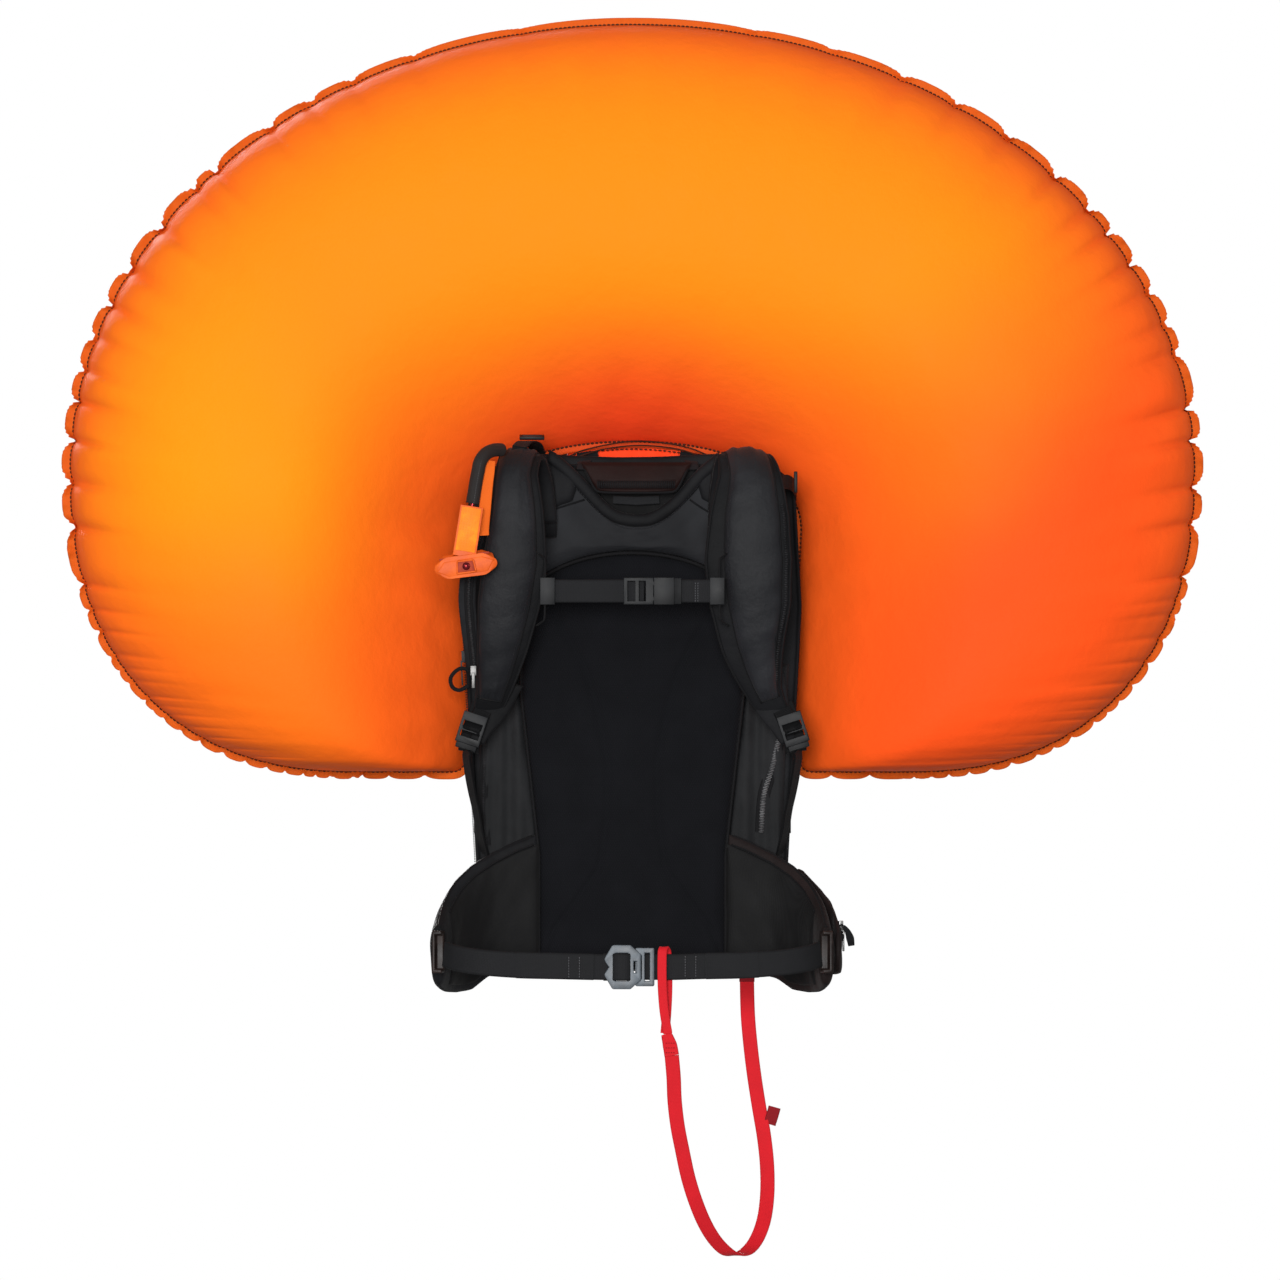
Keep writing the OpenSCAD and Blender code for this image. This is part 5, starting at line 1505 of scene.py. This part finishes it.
# recess floor and slots in the darker red: painted shade in the hollows
pit = [(on_bar(0, -9.9, -12.4), (19, 0.8, 11.5), BAR), (on_bar(-22, -3.4, -2.6), (9, 1.2, 2.4), BAR),
       (on_bar(20, -3.4, -0.9), (12, 1.2, 2.4), BAR)]
pit = make("trigger_recess_floor", *block(pit), "trigger", RECESS_SHADE, "trigger_orange", smooth=False)
soften(pit, 0.4, 2)
cord_mesh("trigger_screw_head", [on_bar(0.5, -6.8, -12.2), on_bar(0.5, -11.2, -12.2)], 4.1, "trigger", SCREW,
          "motor_steel", sides=20, wide=(0, 0, 1), step=1.0)
route = curve([on_stem(0, 0, 54.0), on_stem(0, 0, 75), [-161, -94, 250], [-158.5, -92.6, 261],
               [-152.4, -85, 269.4], [-144.5, -75, 273], [-137, -64, 273.5]], 8)
sheath = cord_mesh("trigger_sheath_braid", route, 7.0, "pack", SHEATH, "sheath_braid", sides=24,
                   wide=(0, 1, 0), step=1.6)
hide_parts("trigger_sheath")
across = frames(route, (1, 0, 0))[1]
stitches("sheath_thread", [(route + across * 1.2 - np.array([0, 6.6, 0]), (0, -1, 0))], "pack", THREADGREY,
         None, pitch=2.6, r=0.5)
for sx in (-1, 1):
    line = [[98, -78, 165], [93, -85, 161], [91, -87, 157], [91, -87, 126], [91.5, -87, 99], [94, -84, 94],
            [100, -77, 90]]
    rail = piping("sternum_rail_" + LEFT_RIGHT[sx], curve([[sx * x, y, z] for x, y, z in line], 6), 1.1,
                  "buckle_plastic")
    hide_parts("sternum_rails")
dress("trigger_cable", SCREW)
lining_path = curve([[-149, -84, 262], [-150, -88, 250], [-151.5, -89, 236], [-153.5, -88, 216],
                     [-155, -86, 197], [-155.5, -83, 184]], 8)
ribbon("strap_opening_lining", lining_path, 13, 1.4, "pack", ORANGEWEB, "airbag_trim", wide=(1, 0.35, 0),
       wave=0.7, step=2.0)

# ------------------------------------------------------------------ leg loop
LEG = [[41, -158, -357], [43, -154, -380], [44, -149, -404], [47, -143, -430], [52, -136, -456],
       [58, -128, -484], [66, -118, -510], [76, -106, -534], [88, -92, -553], [102, -78, -565],
       [116, -63, -565], [128, -48, -554], [137, -32, -533], [141, -16, -506], [141, -3, -476],
       [138, 7, -446], [133, 14, -416], [128, 19, -384], [124, 22, -352], [121, 24, -318], [120, 25, -281]]
leg = ribbon("leg_loop_webbing", curve(LEG, 4), 15, 2.0, "pack", RED, "red_webbing", step=3.0)
# the tag is in the darker red: painted shade
tag = ribbon("leg_loop_tag", [[143.6, 11.5, -432], [146.5, 11.3, -423], [149, 11.3, -414]], 13, 1.6, "pack",
             RED_SHADED, "red_webbing", wide=(1, 0, -0.2), step=2.0)
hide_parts("leg_strap")
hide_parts("leg_tag")
EYE = [[34, -153, -334], [36, -152.4, -310], [37, -152, -282], [36, -153, -252], [34.5, -155.4, -246.5],
       [33, -158.3, -244.5], [32, -161.2, -246.5], [31, -163.6, -252], [31, -164.2, -282], [33, -162.2, -310],
       [37, -158.6, -334]]
sewn = [[35.4, -156, -334.6], [39, -157.4, -346], [41, -157.8, -357]]
ey = ribbons("leg_loop_eye", [(curve(EYE, 5), 9.5, 1.8, (1, 0, 0)),
                              (curve(sewn, 4), graded([11, 15, 15.4], 4), 4.6, (1, 0, 0))], "pack", RED,
             "red_webbing", step=2.0)
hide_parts("leg_eye")
# bartack thread in the shaded copy of the red webbing
stitches("leg_loop_bartack", [([[34.5, -160.9, z], [46.5, -160.9, z]], (0, -1, 0))
                              for z in (-344, -349, -354)], "pack", RED_SHADED, None, pitch=2.6, r=0.4)
# the anchor is in the darker red: painted shade behind the hip
anchor = ribbon("leg_loop_anchor", curve([[120, 25, -283], [120, 25.5, -276], [120, 28, -271],
                                          [120, 34, -270.2], [120, 42, -270]], 4), 16, 2.6, "pack", RED_SHADED,
                "red_webbing", step=2.0)
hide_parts("leg_anchor")

# ------------------------------------------------------------------ outer face of the pack
pr = section(BAG_REAR, 2.0, NR)


def disc(rim, y0, y1, name, body, mat, slot, relief, steps=16, seed=1):
    """A soft slab across an outline, full at its middle and rolled over at its rim."""
    c = rim.mean(0)
    n = len(rim)
    levels = [(1.0, y0)] + [(1.0 - 0.035 * (1 - math.cos(a)), y0 + (y1 - y0) * math.sin(a) * 0.9)
                            for a in np.linspace(0.3, 1.57, 6)]
    levels += [(0.965 * (1 - k / steps), None) for k in range(1, steps)]
    vs = []
    for r, y in levels:
        p = c + (rim - c) * r
        yy = np.full(n, y if y is not None else 0.0)
        if y is None:
            yy = y0 + (y1 - y0) * (0.9 + 0.1 * (1 - r)) + relief(p[:, 0], p[:, 1], seed)
        vs.append(np.stack([p[:, 0], yy, p[:, 1]], 1))
    v = np.concatenate(vs + [[[c[0], float(np.mean(vs[-1][:, 1])), c[1]]], [[c[0], y0, c[1]]]])
    m = len(levels)
    f = ring_quads(m, n)
    for j in range(n):
        k = (j + 1) % n
        f.append(((m - 1) * n + j, (m - 1) * n + k, m * n))
        f.append((k, j, m * n + 1))
    return make(name, v, f, body, mat, slot)


def creased(x, z, seed):
    return waves(x * 0.9 + z * 0.5, seed, 60, 190) * 1.2 + waves(z - x * 0.7, seed + 1, 26, 80) * 0.5


fp = disc(pr, 229.8, 239.6, "front_panel_cloth", "front_panel", PACK, "pack_fabric", creased, seed=161)
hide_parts("front_panel")
pk0, pk1 = bag_ring(132, 188, 2, NR), bag_ring(112, 168, 8, NR)
m = min(len(pk0), len(pk1))
pk = disc((pk0[:m] * 0.75 + pk1[:m] * 0.25), 240.8, 258.5, "tools_pocket_cloth", "front_panel", SIDE,
          "pocket_fabric", creased, seed=171, steps=18)
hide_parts("tools_pocket")
rg = np.stack([pr[:, 0], np.full(len(pr), 231.0), pr[:, 1]], 1)
up = rg[:, 2] > -252
rg = np.roll(rg, -int(np.where(up & ~np.roll(up, 1))[0][0]), 0)[:int(up.sum())]
piping("front_panel_piping", rg, 1.8, body="front_panel", step=3.0)
zrg = section(BAG_REAR, 1.0, NR)
zr2 = np.stack([zrg[20:-20, 0] * 1.004, np.full(len(zrg) - 40, 234.8), zrg[20:-20, 1]], 1)
zipper("front_panel_zip_teeth", zr2, (0, 1, 0), "front_panel", TEETH, "zip_tape", width=4.0, pitch=2.8)
runs = []
for z in (-190, -120, 60, 120):
    fy = 260.2
    runs.append((curve([[-24, fy, z], [-22, fy + 10, z], [-12, fy + 15, z], [12, fy + 15, z],
                        [22, fy + 10, z], [24, fy, z]], 4), 20, 1.8, (0, 0, 1)))
cl = ribbons("carry_loop_webbing", runs, "front_panel", WEB, "black_webbing", step=2.5)
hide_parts("carry_loops")
runs = [([[x, 259.9, -225], [x, 259.9, 150]], 22, 1.6, (1, 0, 0)) for x in (-34, 34)]
ribbons("pocket_face_webbing", runs, "front_panel", WEB, "black_webbing", step=4.0)
runs = []
for sx in (-1, 1):
    for z in (-120, -212):
        c = [[sx * (side_x(y, z) + 3.6), y, z] for y in (34, 60, 90, 120, 140, 170, 200, 222)]
        runs.append((curve(c, 4), 15, 1.6, (0, 0, 1)))
cs = ribbons("compression_webbing", runs, "pack", WEBFINE, "black_webbing", step=3.0, wave=0.3)
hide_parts("compression_straps")

# burst cover of the airbag's compartment, folded back behind the airbag
LID = turn_x(-60)


def lid_mid(u, v):
    x = u * 86
    h = 3 + v * 61
    wob = waves(x + h * 0.4, 181, 50, 120) * 1.6 * v
    p = np.stack([x * (1 - 0.04 * v ** 3), wob, h], 2)
    return p @ LID.T + np.array([0, 184, 244])


def lid_half(u, v):
    e = np.minimum((1 - np.abs(u)) * 12, np.minimum(v, 1 - v) * 14)
    return np.clip(e, 0, 1) ** 0.5 * 2.1


lid = quilt("airbag_cover", lid_mid, lid_half, 50, 22, "airbag_lid", PACK, "pack_fabric",
            n=LID @ np.array([0, -1, 0]), back=1.0, us=np.linspace(-1, 1, 50))
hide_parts("airbag_lid")

# belt pocket's cord pull
cord_mesh("belt_pocket_pull", curve([[215.4, -64, -224], [218.2, -67, -222], [221.2, -70, -224.5]], 6), 1.0,
          "hip_pocket_zip", WEBFINE, "black_webbing", sides=10)
ribbons("belt_pocket_tab", [(curve([[220.4, -70, -223.5], [224.4, -71, -229], [227.2, -71, -236],
                                    [228.6, -70, -244]], 6), graded([3.4, 6, 8.4, 6.6], 6), 2.4,
                             (0.8, 0, 0.35))], "hip_pocket_zip", WEBFINE, "black_webbing", step=1.5)

# ------------------------------------------------------------------ light
def area(name, loc, target, size, power, color):
    d = bpy.data.lights.new(name, "AREA")
    d.energy = power
    d.color = color
    d.shape = "RECTANGLE"
    d.size = d.size_y = size
    o = place(name, d)
    o.location = loc
    o.rotation_euler = (Vector(target) - Vector(loc)).to_track_quat("-Z", "Y").to_euler()


area("key", (-2.6, -3.4, 1.7), (-0.05, 0.0, 0.15), 1.8, 30, (1.0, 0.985, 0.96))
area("rim", (3.0, -1.4, 1.4), (0.2, 0.0, 0.3), 1.4, 15, (1.0, 0.985, 0.96))
area("low", (-0.9, -3.2, -1.3), (-0.1, 0.0, 0.1), 1.6, 7, (1.0, 0.98, 0.96))
for nm, energy, spread, turn in (("broad", 3.4, 20, (85, 0, -4)), ("rear", 2.4, 20, (72, 0, 196))):
    sun = bpy.data.lights.new(nm, "SUN")
    sun.energy = energy
    sun.angle = math.radians(spread)
    place(nm, sun).rotation_euler = [math.radians(a) for a in turn]
world = bpy.data.worlds.new("world")
world.use_nodes = True
# soft grey room with one white wall at +Y
wt = world.node_tree
way = wt.nodes.new("ShaderNodeTexCoord")
split = wt.nodes.new("ShaderNodeSeparateXYZ")
wall = wt.nodes.new("ShaderNodeMapRange")
for key, value in (("From Min", 0.965), ("From Max", 0.985), ("To Min", 0.3), ("To Max", 1.0)):
    wall.inputs[key].default_value = value
wt.links.new(way.outputs["Generated"], split.inputs[0])
wt.links.new(split.outputs["Y"], wall.inputs["Value"])
wt.links.new(wall.outputs[0], wt.nodes["Background"].inputs["Strength"])
wt.nodes["Background"].inputs["Color"].default_value = (1, 1, 1, 1)
bpy.context.scene.world = world
